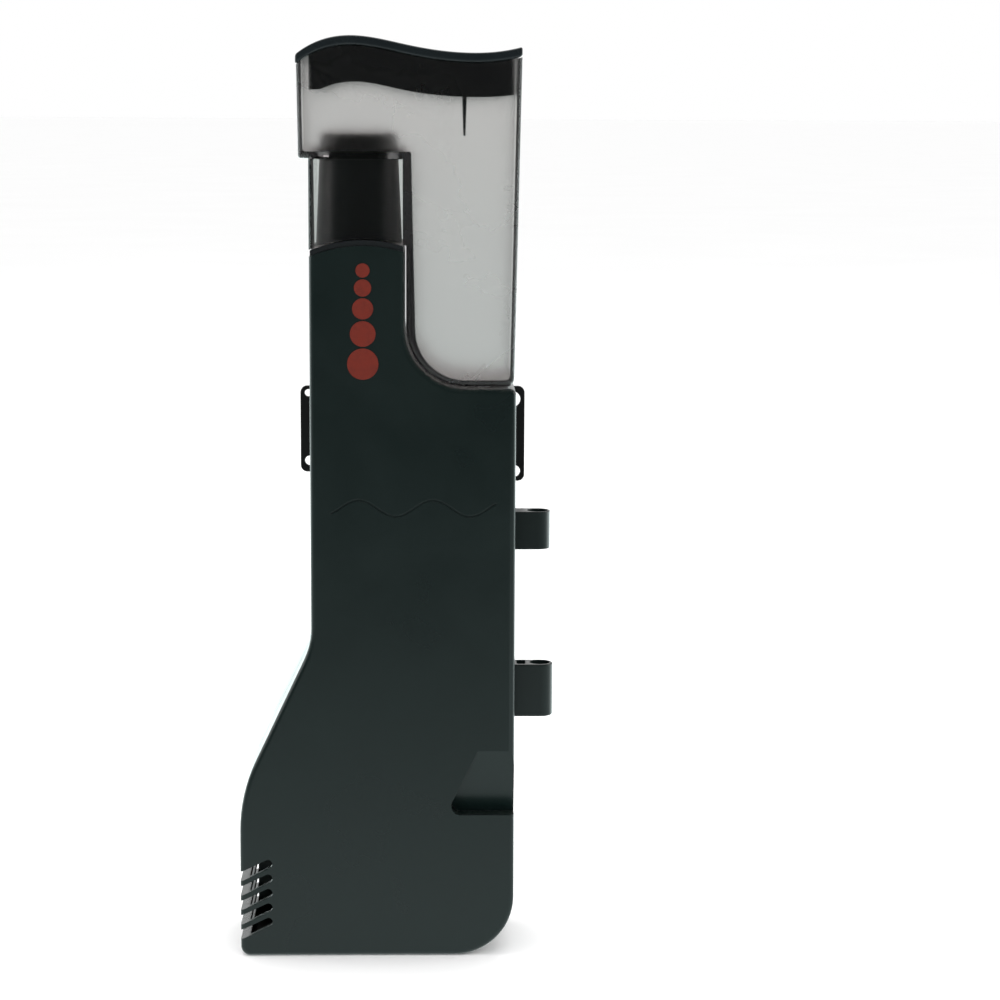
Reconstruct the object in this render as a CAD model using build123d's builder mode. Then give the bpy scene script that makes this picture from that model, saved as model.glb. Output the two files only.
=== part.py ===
"""Internal, air-driven protein skimmer for a small marine aquarium.

Millimetres. +X runs from the foot towards the hose guides, +Y towards the aquarium's glass, +Z up.
The origin is on the flat bottom, under the middle of the housing's column.
"""
from build123d import *
import math
import os

os.makedirs("parts", exist_ok=True)

# ---------------------------------------------------------------- driving dimensions
# Housing
FRONT, REAR = -25.0, 25.0             # front and rear faces of the housing
WALL = 2.0                            # housing wall
COLUMN = 37.0                         # half the column's width
FOOT_LEFT = -63.4                     # left side of the foot
SHOULDER = 210.2                      # height of the flat shoulder under the cup
NECK_RIGHT = -3.1                     # right side of the neck
NECK_MID = (NECK_RIGHT - COLUMN) / 2  # middle of the neck
SLOPE_LOW, SLOPE_HIGH = 60.8, 116.6   # ends of the slanted left side
EDGE = 2.0                            # rounding of the housing's outer edges
CORNER_RADII = [22.3, 2.2, 22.0, 3.4, 60.0, 28.0]
SEAM = 0.5                            # width and depth of the groove where the shells meet

# Neck arch and lid wave: (x, z) points that the curves pass through
ARCH = [(-COLUMN, 257.2), (-18.8, 261.2), (NECK_RIGHT, 258.9)]
WAVE = [(-41.4, 328.1), (-19.6, 334.8), (-1.0, 331.5), (20.3, 329.0), (38.6, 331.1)]
PLUG_WAVE = [(-32.7, 315.9), (-20.1, 318.7), (-3.1, 315.8), (19.4, 313.5), (35.9, 314.3)]

# Intake louvres
LOUVRES = 5
LOUVRE_PITCH = 5.5
LOUVRE_TOP = 30.0                     # height of the top louvre's middle at the foot's left side
LOUVRE_WIDTH = 3.2
LOUVRE_RUN = 10.2                     # from the left side to the centre of a louvre's round end
LOUVRE_ANGLE = 26.0
LOUVRE_WALL = 3.6                     # left wall where the louvres cross it
LOUVRE_WALL_HIGH = 36.5

# Engraved wave line on the front
ENGRAVE_MID, ENGRAVE_RISE, ENGRAVE_LENGTH = 167.0, 2.95, 26.8
ENGRAVE_CREST = -19.6
ENGRAVE_FROM, ENGRAVE_TO = -29.5, 30.0
ENGRAVE_WIDTH, ENGRAVE_DEPTH = 0.7, 0.3
ENGRAVE_STEPS = 24

# Thumb recess, a ramp that deepens downwards and is open to the right
GRIP_TOP, GRIP_LIP = 77.3, 53.3
GRIP_DEPTH = 7.0
GRIP_LEFT_TOP, GRIP_LEFT_LOW = 23.7, 11.9
GRIP_CORNER = 3.5

# Outlet in the right side wall
OUTLET_MID_Z, OUTLET_HIGH, OUTLET_LONG = 38.0, 22.0, 30.0
OUTLET_BARS, OUTLET_BAR, OUTLET_FRAME = 5, 1.2, 2.0
OUTLET_FIT = 0.05

# Riser tube
RISER_X = -19.7                       # the riser's axis, between the cup's skirt walls
RISER_FOOT_R, RISER_TOP_R = 15.8, 13.9
RISER_WALL = 1.8
RISER_FOOT, RISER_TOP = 257.3, 300.8
SADDLE = 2.0                          # thickness of the riser's saddle
SPIGOT_LOW = 247.5
SPIGOT_FIT, SPIGOT_WALL = 0.2, 1.5
SPIGOT_ROOF = 1.2                     # thickness left over the spigot's hollow
SADDLE_IN = 0.4                       # how far the saddle stays inside the neck's sides
RISER_EDGE = 1.2

# Foam cup
CUP_WALL = 1.8
CUP_GAP = 0.4                         # air between the saddle and the cup's skirt
CUP_FLOOR_LOW, CUP_FLOOR = 291.8, 294.3
CUP_LEFT_LOW, CUP_LEFT_TOP = -40.6, -41.2
CUP_RIGHT_LOW, CUP_RIGHT_TOP = 36.3, 38.7
SKIRT_LEFT = -37.1
POCKET_LEFT = -2.45
POCKET_LOW = SHOULDER + 0.7
POCKET_FLOOR = 213.2
POCKET_ROUND = 21.6
SKIRT_HALF = 16.1                     # half the skirt's inner width
CUP_EDGE = 2.4
SEAL_R, SEAL_FLANGE_R = 15.9, 17.0
SEAL_LIP = 0.6                        # how far the seal reaches below the floor
SEAL_FLANGE = 1.2
SEAL_GAP = 0.15

# Lid
LID_PLATE = 3.3
LID_GAP = 0.3
LID_DEPTH = 25.3                      # half the lid's depth
PLUG_LEFT, PLUG_RIGHT = -36.8, 35.9
PLUG_DEPTH = 22.9                     # half the plug's depth
PLUG_WALL = 2.0
PIN_X, PIN_TIP = 18.2, 300.0
PIN_R, PIN_TIP_R = 0.9, 0.4

# Hose guides on the right side
HOSE_BORE_R = 3.75
GUIDE_Y = -8.0
UPPER_LOW, UPPER_HIGH, UPPER_X, UPPER_R = 149.9, 163.9, 45.5, 4.6
LOWER_LOW, LOWER_HIGH, LOWER_X, LOWER_R = 87.4, 107.0, 46.7, 4.8
SLOT_FROM, SLOT_TO, SLOT_HALF = 38.1, 41.4, 3.4
PEG_R, PEG_LONG = 1.5, 1.8
UPPER_PEG, LOWER_PEG = 156.9, 102.0     # heights of the pegs that fix the guides
GUIDE_FLOOR = 0.6                     # below the pipe in the lower guide
SLOT_DEEP = 9.0
FIT = 0.05                            # radial clearance of pegs, screws and pipe

# Air line
PIPE_R, PIPE_BORE_R = 2.0, 1.2
PIPE_Z = 91.4
PIPE_BEND = 14.0
PIPE_TURN = -8.0                      # x where the pipe turns towards the diffuser
DIFFUSER_X, DIFFUSER_SIDE, DIFFUSER_HIGH = -36.0, 21.0, 42.0
DIFFUSER_Z = 3.8
DIFFUSER_BORE = 12.0                  # depth of the bore in the diffuser's top
DIFFUSER_EDGE = 0.5
CRADLE_WALL, CRADLE_HIGH, CRADLE_FIT, CRADLE_NOTCH = 1.5, 10.0, 0.2, 9.0
PIPE_DROP = 20.0                      # from the pipe's upper bend down to the diffuser
NIPPLE_LOW, NIPPLE_DISC, NIPPLE_TOP = 93.9, 95.5, 105.0
NIPPLE_R, NIPPLE_BORE_R, GROOVE_R = 2.0, 1.1, 1.6
GROOVES = [99.2, 100.0, 102.4]        # heights where the hose teeth begin and end

# Partition and screen
PARTITION_HIGH, PARTITION_THICK = 180.0, 2.0
VENTS, VENT_PITCH, VENT_WIDE, VENT_HIGH = 4, 9.0, 5.0, 12.0
SCREEN_Z, SCREEN_THICK, SCREEN_RIM = 155.0, 1.6, 6.0
SCREEN_FIT = 0.1                      # gap between the screen and the walls around it
HOLE_PITCH, HOLE_R = 5.4, 1.7
HOLES_X, HOLES_Y = 5, 7

# Holder behind the housing
RAIL_LOW, RAIL_HIGH = 100.0, 208.0
RAIL_IN = 13.0                        # half the width between the rails' feet
RAIL_OUT = 16.0                       # half the width over both rails
RAIL_LIP = 10.0                       # half the width between the rails' lips
LIP_INNER, LIP_OUTER = 2.7, 4.3       # the lips' faces, behind the housing
TONGUE_LOW, TONGUE_HIGH = 172.5, 205.0
TONGUE_FRONT, TONGUE_BACK = 25.5, 27.4
SLIDE_GAP = 0.3                       # gap beside the sliding tongue
PLATE_Y, PLATE_THICK, PLATE_CORNER = 29.8, 2.2, 2.5
PLATE_LEFT, PLATE_RIGHT = -42.9, 41.9
PLATE_LOW_LEFT, PLATE_LOW_RIGHT, PLATE_HIGH = 172.9, 169.2, 205.5
END_BAR = 1.6                         # bar outside each window of the plate
WINDOW_LONG = 17.0
# Each window of the holder plate: (side, middle height, height)
WINDOWS = [(-1, 202.8, 2.8), (-1, 177.0, 3.8), (1, 200.5, 6.1), (1, 173.0, 4.6)]
SUCTION_X, SUCTION_Z = 29.6, 188.0
STEM_R = 2.5
SUCTION_BUTTON = [(0, -2.2), (3.0, -2.2), (3.9, -0.3), (STEM_R, -0.3)]
# Profile behind the plate: (radius, distance behind the plate's rear face)
SUCTION_NECK = [(STEM_R, 0.1), (4.6, 0.1), (5.0, 2.4)]
SUCTION_BACK = [(5.0, 2.4), (8.4, 4.2), (11.8, 7.6)]
SUCTION_FACE = [(10.9, 7.9), (6.6, 5.4), (0, 4.4)]

# Shell screws: (x, z) of each
SCREWS = [(30.5, 203.0), (30.5, 128.0), (-31.2, 240.0), (-31.2, 134.0), (-16.0, 9.0), (12.0, 9.0)]
BOSS_R = 3.4
SCREW_R, SCREW_HEAD_R, SCREW_HEAD = 1.45, 2.7, 2.0
HEAD_SUNK = 0.4                       # how far a head lies below the rear face
DRIVE_LONG, DRIVE_WIDE, DRIVE_DEEP = 3.2, 0.8, 1.4

# Front mark: a column of discs that shrink upwards
MARK_X, MARK_LOW, MARK_HIGH = -17.9, 213.5, 255.0
MARK_DISCS = 5
MARK_R, MARK_SHRINK = 5.6, 0.82
MARK_THICK = 0.2

OVER = 2.0                            # how far a cutting tool runs past what it cuts


def shifted(points, dz):
    """The points moved by dz along their second axis."""
    return [(x, z + dz) for x, z in points]


def lean(start, end, z):
    """The x at height z on the straight line through start and end, both (x, z)."""
    return start[0] + (end[0] - start[0]) * (z - start[1]) / (end[1] - start[1])


def export(part, name):
    """Labels a finished piece and writes it as a STEP file."""
    part.label = name
    export_step(part, f"parts/{name}.step")


# ---------------------------------------------------------------- housing outline
with BuildSketch() as housing_outline:
    with BuildLine():
        FilletPolyline(
            ARCH[2],
            (NECK_RIGHT, SHOULDER),
            (COLUMN, SHOULDER),
            (COLUMN, 0),
            (FOOT_LEFT, 0),
            (FOOT_LEFT, SLOPE_LOW),
            (-COLUMN, SLOPE_HIGH),
            ARCH[0],
            radius=CORNER_RADII,
        )
        ThreePointArc(*ARCH)
    make_face()

with BuildSketch() as cavity_outline:
    add(housing_outline.sketch)
    offset(amount=-WALL)
    with Locations((NECK_MID, SHOULDER + WALL)):
        Rectangle(NECK_RIGHT + COLUMN - 2 * WALL, ARCH[1][1] - SHOULDER, align=(Align.CENTER, Align.MIN))

with BuildSketch() as seam_outline:
    add(housing_outline.sketch)
    offset(amount=-SEAM, mode=Mode.REPLACE)

# ---------------------------------------------------------------- tools that cut the housing
grip_left_over = lean((GRIP_LEFT_TOP, GRIP_TOP), (GRIP_LEFT_LOW, GRIP_LIP), GRIP_TOP + 2 * OVER)
with BuildSketch() as grip_outline:
    with BuildLine():
        FilletPolyline(
            (COLUMN + OVER, GRIP_TOP + 2 * OVER),
            (grip_left_over, GRIP_TOP + 2 * OVER),
            (GRIP_LEFT_LOW, GRIP_LIP),
            (COLUMN + OVER, GRIP_LIP),
            radius=[1.0, GRIP_CORNER],
        )
        Line((COLUMN + OVER, GRIP_LIP), (COLUMN + OVER, GRIP_TOP + 2 * OVER))
    make_face()


def grip_ramp(margin):
    """The wedge of the thumb recess, grown inwards by margin on every side."""
    slope = (GRIP_TOP - GRIP_LIP) / GRIP_DEPTH
    low = GRIP_LIP - margin
    with BuildPart() as ramp:
        with BuildSketch(Plane.YZ):
            with BuildLine():
                Polyline(
                    (FRONT - OVER, GRIP_TOP + (margin + OVER) * slope),
                    (FRONT + GRIP_DEPTH + margin + margin / slope, low),
                    (FRONT - OVER, low),
                    close=True,
                )
            make_face()
        extrude(amount=COLUMN + 2 * OVER)
        with BuildSketch(Plane.XZ.offset(-FRONT + OVER)):
            add(grip_outline.sketch)
            if margin:
                offset(amount=margin)
        extrude(amount=-GRIP_DEPTH - 3 * OVER, mode=Mode.INTERSECT)
    return ramp.part


grip_cut = grip_ramp(0)
grip_backing = grip_ramp(WALL)
with BuildPart() as backing_limit:
    with BuildSketch(Plane.XZ.offset(-FRONT - WALL / 2)):
        add(housing_outline.sketch)
        offset(amount=-WALL / 2)
    extrude(amount=FRONT)
backing = grip_backing.intersect(backing_limit.part)

with BuildPart() as louvre_cut:
    run = LOUVRE_RUN + 2 * OVER
    climb = math.tan(math.radians(LOUVRE_ANGLE))
    for row in range(LOUVRES):
        middle_x = FOOT_LEFT - 2 * OVER + run / 2
        middle_z = LOUVRE_TOP - row * LOUVRE_PITCH + (middle_x - FOOT_LEFT) * climb
        with BuildSketch(Plane.XZ.offset(-REAR - OVER)):
            with Locations(Location((middle_x, middle_z, 0), (0, 0, LOUVRE_ANGLE))):
                SlotCenterToCenter(run / math.cos(math.radians(LOUVRE_ANGLE)), LOUVRE_WIDTH)
        extrude(amount=REAR - FRONT + 2 * OVER)
    with Locations((FOOT_LEFT + LOUVRE_WALL, 0, 0)):
        Box(2 * run, REAR + 2 * OVER, LOUVRE_TOP + run, mode=Mode.SUBTRACT,
            align=(Align.MIN, Align.MIN, Align.MIN))

with BuildPart() as wave_cut:
    with BuildSketch(Plane.XZ.offset(-FRONT - ENGRAVE_DEPTH)):
        with BuildLine():
            stations = [
                ENGRAVE_FROM + (ENGRAVE_TO - ENGRAVE_FROM) * i / ENGRAVE_STEPS
                for i in range(ENGRAVE_STEPS + 1)
            ]
            phases = [2 * math.pi * (x - ENGRAVE_CREST) / ENGRAVE_LENGTH for x in stations]
            Spline([
                (x, ENGRAVE_MID + ENGRAVE_RISE * math.cos(phase))
                for x, phase in zip(stations, phases)
            ])
        trace(line_width=ENGRAVE_WIDTH)
    extrude(amount=ENGRAVE_DEPTH + OVER)

with BuildPart() as seam_cut:
    with BuildSketch(Plane.XZ.offset(-SEAM / 2)):
        with Locations(((COLUMN + FOOT_LEFT) / 2, ARCH[1][1] / 2)):
            Rectangle(COLUMN - FOOT_LEFT + 2 * OVER, ARCH[1][1] + 2 * OVER)
        add(seam_outline.sketch, mode=Mode.SUBTRACT)
    extrude(amount=SEAM)

# ---------------------------------------------------------------- housing shells
with BuildPart() as housing:
    with BuildSketch(Plane.XZ.offset(-REAR)):
        add(housing_outline.sketch)
    extrude(amount=REAR - FRONT)
    arch_low = min(z for _, z in ARCH)
    rounded = [
        edge for edge in housing.edges()
        if abs(abs(edge.center().Y) - REAR) < 0.01 and edge.center().Z < arch_low
    ]
    fillet(rounded, radius=EDGE)
    with BuildSketch(Plane.XZ.offset(-REAR + WALL)):
        add(cavity_outline.sketch)
    extrude(amount=REAR - FRONT - 2 * WALL, mode=Mode.SUBTRACT)
    with Locations((FOOT_LEFT + (WALL + LOUVRE_WALL) / 2, 0, (WALL + LOUVRE_WALL_HIGH) / 2)):
        Box(LOUVRE_WALL - WALL, REAR - FRONT - 2 * WALL, LOUVRE_WALL_HIGH - WALL)
    add(louvre_cut.part, mode=Mode.SUBTRACT)
    add(seam_cut.part, mode=Mode.SUBTRACT)
    with Locations((COLUMN, 0, OUTLET_MID_Z)):
        Box(4 * WALL, OUTLET_LONG, OUTLET_HIGH, mode=Mode.SUBTRACT)

with BuildPart() as front_shell:
    add(housing.part)
    split(bisect_by=Plane.XZ, keep=Keep.TOP)
    add(backing)
    add(grip_cut, mode=Mode.SUBTRACT)
    add(wave_cut.part, mode=Mode.SUBTRACT)
    for x, z in SCREWS:
        with Locations(Location((x, FRONT + WALL / 2, z), (-90, 0, 0))):
            Cylinder(BOSS_R, -FRONT - WALL / 2, align=(Align.CENTER, Align.CENTER, Align.MIN))
        with Locations(Location((x, FRONT / 2, z), (-90, 0, 0))):
            Cylinder(
                SCREW_R + FIT, -FRONT,
                align=(Align.CENTER, Align.CENTER, Align.MIN), mode=Mode.SUBTRACT,
            )
    for z in (UPPER_PEG, LOWER_PEG):
        with Locations(Location((COLUMN - 2 * WALL, GUIDE_Y, z), (0, 90, 0))):
            Cylinder(PEG_R + FIT, 4 * WALL, mode=Mode.SUBTRACT)
    with Locations(Location((COLUMN - 2 * WALL, GUIDE_Y, PIPE_Z), (0, 90, 0))):
        Cylinder(PIPE_R + FIT, 4 * WALL, mode=Mode.SUBTRACT)
export(front_shell.part, "front_shell")

with BuildPart() as rear_shell:
    add(housing.part)
    split(bisect_by=Plane.XZ, keep=Keep.BOTTOM)
    for x, z in SCREWS:
        with Locations(Location((x, 0, z), (-90, 0, 0))):
            Cylinder(BOSS_R, REAR - WALL / 2, align=(Align.CENTER, Align.CENTER, Align.MIN))
            Cylinder(SCREW_R + FIT, REAR + OVER, align=(Align.CENTER, Align.CENTER, Align.MIN),
                     mode=Mode.SUBTRACT)
        with Locations(Location((x, REAR - SCREW_HEAD - HEAD_SUNK, z), (-90, 0, 0))):
            Cylinder(SCREW_HEAD_R + FIT, 2 * SCREW_HEAD, align=(Align.CENTER, Align.CENTER, Align.MIN),
                     mode=Mode.SUBTRACT)
export(rear_shell.part, "rear_shell")

with BuildPart() as shell_screws:
    head_y = REAR - SCREW_HEAD - HEAD_SUNK
    for x, z in SCREWS:
        with Locations(Location((x, FRONT / 2 + 1, z), (-90, 0, 0))):
            Cylinder(SCREW_R, head_y - FRONT / 2 - 1, align=(Align.CENTER, Align.CENTER, Align.MIN))
        with Locations(Location((x, head_y, z), (-90, 0, 0))):
            Cylinder(SCREW_HEAD_R, SCREW_HEAD, align=(Align.CENTER, Align.CENTER, Align.MIN))
        with Locations(Location((x, REAR - HEAD_SUNK, z), (-90, 45, 0))):
            Box(DRIVE_LONG, DRIVE_WIDE, 2 * DRIVE_DEEP, mode=Mode.SUBTRACT)
            Box(DRIVE_WIDE, DRIVE_LONG, 2 * DRIVE_DEEP, mode=Mode.SUBTRACT)
export(shell_screws.part, "shell_screws")

# ---------------------------------------------------------------- inside the housing
with BuildPart() as partition:
    with Locations((0, 0, (WALL + PARTITION_HIGH) / 2)):
        Box(PARTITION_THICK, REAR - FRONT - 2 * WALL, PARTITION_HIGH - WALL)
    with Locations(Location((0, GUIDE_Y, PIPE_Z), (0, 90, 0))):
        Cylinder(PIPE_R + FIT, 2 * PARTITION_THICK, mode=Mode.SUBTRACT)
    with Locations((0, 0, PARTITION_HIGH - VENT_HIGH)):
        with GridLocations(0, VENT_PITCH, 1, VENTS):
            Box(2 * PARTITION_THICK, VENT_WIDE, VENT_HIGH, mode=Mode.SUBTRACT)
export(partition.part, "partition")

with BuildPart() as bubble_screen:
    screen_left = PARTITION_THICK / 2 + SCREEN_FIT
    screen_right = COLUMN - WALL - SCREEN_FIT
    screen_deep = REAR - FRONT - 2 * WALL - 2 * SCREEN_FIT
    with BuildSketch(Plane.XY.offset(SCREEN_Z)):
        with Locations(((screen_left + screen_right) / 2, 0)):
            Rectangle(screen_right - screen_left, screen_deep)
            with GridLocations(HOLE_PITCH, HOLE_PITCH, HOLES_X, HOLES_Y):
                Circle(HOLE_R, mode=Mode.SUBTRACT)
    extrude(amount=SCREEN_THICK)
    with Locations((screen_left + 0.5, 0, SCREEN_Z), (screen_right - 0.5, 0, SCREEN_Z)):
        Box(1.0, screen_deep, SCREEN_RIM, align=(Align.CENTER, Align.CENTER, Align.MIN))
export(bubble_screen.part, "bubble_screen")

with BuildPart() as outlet_grille:
    open_long = OUTLET_LONG - 2 * OUTLET_FRAME
    with Locations((COLUMN - WALL / 2, 0, OUTLET_MID_Z)):
        Box(WALL - 2 * OUTLET_FIT, OUTLET_LONG - 2 * OUTLET_FIT, OUTLET_HIGH - 2 * OUTLET_FIT)
        Box(2 * WALL, open_long, OUTLET_HIGH - 2 * OUTLET_FRAME, mode=Mode.SUBTRACT)
        with GridLocations(0, open_long / (OUTLET_BARS + 1), 1, OUTLET_BARS):
            Box(WALL - 6 * OUTLET_FIT, OUTLET_BAR, OUTLET_HIGH - OUTLET_FRAME)
export(outlet_grille.part, "outlet_grille")

diffuser_top = DIFFUSER_Z + DIFFUSER_HIGH
with BuildPart() as wood_diffuser:
    with Locations((DIFFUSER_X, 0, DIFFUSER_Z + DIFFUSER_HIGH / 2)):
        Box(DIFFUSER_SIDE, DIFFUSER_SIDE, DIFFUSER_HIGH)
    chamfer(wood_diffuser.edges(), length=DIFFUSER_EDGE)
    with Locations((DIFFUSER_X, 0, diffuser_top - DIFFUSER_BORE)):
        Cylinder(PIPE_R + FIT, DIFFUSER_BORE + OVER, align=(Align.CENTER, Align.CENTER, Align.MIN),
                 mode=Mode.SUBTRACT)
export(wood_diffuser.part, "wood_diffuser")

with BuildPart() as diffuser_cradle:
    cradle_side = DIFFUSER_SIDE + 2 * CRADLE_FIT
    cradle_over = cradle_side + 2 * CRADLE_WALL
    with BuildSketch(Plane.XY.offset(WALL)):
        with Locations((DIFFUSER_X, 0)):
            RectangleRounded(cradle_over, cradle_over, 2)
    extrude(amount=CRADLE_HIGH)
    with Locations((DIFFUSER_X, 0, DIFFUSER_Z)):
        Box(cradle_side, cradle_side, 2 * CRADLE_HIGH, align=(Align.CENTER, Align.CENTER, Align.MIN),
            mode=Mode.SUBTRACT)
    with Locations((DIFFUSER_X, 0, CRADLE_HIGH)):
        Box(2 * cradle_side, CRADLE_NOTCH, CRADLE_HIGH, mode=Mode.SUBTRACT)
        Box(CRADLE_NOTCH, 2 * cradle_side, CRADLE_HIGH, mode=Mode.SUBTRACT)
export(diffuser_cradle.part, "diffuser_cradle")

with BuildPart() as air_pipe:
    with BuildLine() as pipe_route:
        FilletPolyline(
            (SLOT_TO, GUIDE_Y, PIPE_Z),
            (PIPE_TURN, GUIDE_Y, PIPE_Z),
            (DIFFUSER_X, 0, diffuser_top + PIPE_DROP),
            (DIFFUSER_X, 0, diffuser_top - DIFFUSER_BORE + 2),
            radius=PIPE_BEND,
        )
    with BuildSketch(Plane(origin=pipe_route.line @ 0, z_dir=pipe_route.line % 0)):
        Circle(PIPE_R)
        Circle(PIPE_BORE_R, mode=Mode.SUBTRACT)
    sweep(path=pipe_route.line)
export(air_pipe.part, "air_pipe")

# ---------------------------------------------------------------- hose guides on the side
with BuildPart() as upper_hose_guide:
    with BuildSketch(Plane.XY.offset(UPPER_LOW)):
        with Locations(((COLUMN + UPPER_X) / 2, GUIDE_Y)):
            Rectangle(UPPER_X - COLUMN, 2 * UPPER_R)
        with Locations((UPPER_X, GUIDE_Y)):
            Circle(UPPER_R)
            Circle(HOSE_BORE_R, mode=Mode.SUBTRACT)
    extrude(amount=UPPER_HIGH - UPPER_LOW)
    ends = upper_hose_guide.faces().filter_by(Axis.Z)
    fillet(ends.edges().filter_by(lambda edge: edge.center().X > COLUMN + 0.1), radius=0.35)
    with Locations(Location((COLUMN, GUIDE_Y, UPPER_PEG), (0, -90, 0))):
        Cylinder(PEG_R, PEG_LONG, align=(Align.CENTER, Align.CENTER, Align.MIN))
export(upper_hose_guide.part, "upper_hose_guide")

with BuildPart() as lower_hose_guide:
    with BuildSketch(Plane.XY.offset(LOWER_LOW)):
        with Locations(((COLUMN + LOWER_X) / 2, GUIDE_Y)):
            Rectangle(LOWER_X - COLUMN, 2 * LOWER_R)
        with Locations((LOWER_X, GUIDE_Y)):
            Circle(LOWER_R)
    extrude(amount=LOWER_HIGH - LOWER_LOW)
    fillet(
        lower_hose_guide.faces().filter_by(Axis.Z).edges()
        .filter_by(lambda edge: edge.center().X > COLUMN + 0.1),
        radius=0.6,
    )
    with BuildSketch(Plane.XY.offset(PIPE_Z - PIPE_R - GUIDE_FLOOR)):
        with Locations((LOWER_X, GUIDE_Y)):
            Circle(HOSE_BORE_R)
    extrude(amount=LOWER_HIGH, mode=Mode.SUBTRACT)
    with BuildSketch(Plane.XY.offset(LOWER_HIGH - SLOT_DEEP)):
        with Locations(((SLOT_FROM + SLOT_TO) / 2, GUIDE_Y)):
            RectangleRounded(SLOT_TO - SLOT_FROM, 2 * SLOT_HALF, 1)
    extrude(amount=LOWER_HIGH, mode=Mode.SUBTRACT)
    with Locations(Location((COLUMN, GUIDE_Y, PIPE_Z), (0, 90, 0))):
        Cylinder(PIPE_R + FIT, LOWER_X - COLUMN, align=(Align.CENTER, Align.CENTER, Align.MIN),
                 mode=Mode.SUBTRACT)
    with Locations(Location((COLUMN, GUIDE_Y, LOWER_PEG), (0, -90, 0))):
        Cylinder(PEG_R, PEG_LONG, align=(Align.CENTER, Align.CENTER, Align.MIN))
export(lower_hose_guide.part, "lower_hose_guide")

with BuildPart() as air_inlet_nipple:
    with BuildSketch(Plane.XZ):
        with BuildLine():
            Polyline(
                (NIPPLE_BORE_R, NIPPLE_LOW),
                (HOSE_BORE_R - FIT / 2, NIPPLE_LOW),
                (HOSE_BORE_R - FIT / 2, NIPPLE_DISC),
                (NIPPLE_R, NIPPLE_DISC),
                (NIPPLE_R, GROOVES[0]),
                (GROOVE_R, GROOVES[0]),
                (GROOVE_R, GROOVES[1]),
                (NIPPLE_R, GROOVES[1]),
                (GROOVE_R, GROOVES[2]),
                (NIPPLE_R, GROOVES[2]),
                (GROOVE_R, NIPPLE_TOP),
                (NIPPLE_BORE_R, NIPPLE_TOP),
                close=True,
            )
        make_face()
    revolve(axis=Axis.Z)
air_inlet_nipple.part.locate(Location((LOWER_X, GUIDE_Y, 0)))
export(air_inlet_nipple.part, "air_inlet_nipple")

# ---------------------------------------------------------------- riser
neck_wide = NECK_RIGHT + COLUMN - 2 * (WALL + SPIGOT_FIT)
neck_deep = REAR - FRONT - 2 * (WALL + SPIGOT_FIT)
with BuildPart() as saddle:
    with BuildSketch(Plane.XZ.offset(-REAR + SADDLE_IN)):
        with BuildLine():
            ThreePointArc(*shifted(ARCH, FIT))
            Line(shifted(ARCH, FIT)[2], shifted(ARCH, SADDLE)[2])
            ThreePointArc(*shifted(ARCH, SADDLE)[::-1])
            Line(shifted(ARCH, SADDLE)[0], shifted(ARCH, FIT)[0])
        make_face()
        with Locations((NECK_MID, ARCH[1][1])):
            Rectangle(NECK_RIGHT + COLUMN - 2 * SADDLE_IN, COLUMN, mode=Mode.INTERSECT)
    extrude(amount=REAR - FRONT - 2 * SADDLE_IN)

with BuildPart() as under_arch:
    with BuildSketch(Plane.XZ.offset(-REAR - OVER)):
        with BuildLine():
            ThreePointArc(*shifted(ARCH, FIT))
            Polyline(ARCH[2], (NECK_RIGHT, SPIGOT_LOW - OVER), (-COLUMN, SPIGOT_LOW - OVER), ARCH[0])
            Line(ARCH[0], shifted(ARCH, FIT)[0])
            Line(ARCH[2], shifted(ARCH, FIT)[2])
        make_face()
    extrude(amount=REAR - FRONT + 2 * OVER)

with BuildPart() as spigot:
    with BuildSketch(Plane.XY.offset(SPIGOT_LOW)):
        with Locations((NECK_MID, 0)):
            RectangleRounded(neck_wide, neck_deep, 1.5)
    extrude(amount=ARCH[1][1] - SPIGOT_LOW)
    add(under_arch.part, mode=Mode.INTERSECT)
    with BuildSketch(Plane.XY.offset(SPIGOT_LOW)):
        with Locations((NECK_MID, 0)):
            RectangleRounded(neck_wide - 2 * SPIGOT_WALL, neck_deep - 2 * SPIGOT_WALL, 1.0)
    extrude(amount=ARCH[0][1] - SPIGOT_LOW - SPIGOT_ROOF, mode=Mode.SUBTRACT)

riser_high = RISER_TOP - RISER_FOOT
with BuildPart() as riser_tube:
    with Locations((RISER_X, 0, RISER_FOOT)):
        Cone(RISER_FOOT_R, RISER_TOP_R, riser_high, align=(Align.CENTER, Align.CENTER, Align.MIN))
    fillet(riser_tube.faces().sort_by(Axis.Z)[-1].edges(), radius=RISER_EDGE)
    add(under_arch.part, mode=Mode.SUBTRACT)
    add(saddle.part)
    add(spigot.part)
    with Locations((RISER_X, 0, RISER_FOOT)):
        Cone(RISER_FOOT_R - RISER_WALL, RISER_TOP_R - RISER_WALL, riser_high,
             align=(Align.CENTER, Align.CENTER, Align.MIN), mode=Mode.SUBTRACT)
        Cylinder(RISER_FOOT_R - RISER_WALL, 2 * OVER, mode=Mode.SUBTRACT)
export(riser_tube.part, "riser_tube")

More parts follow.
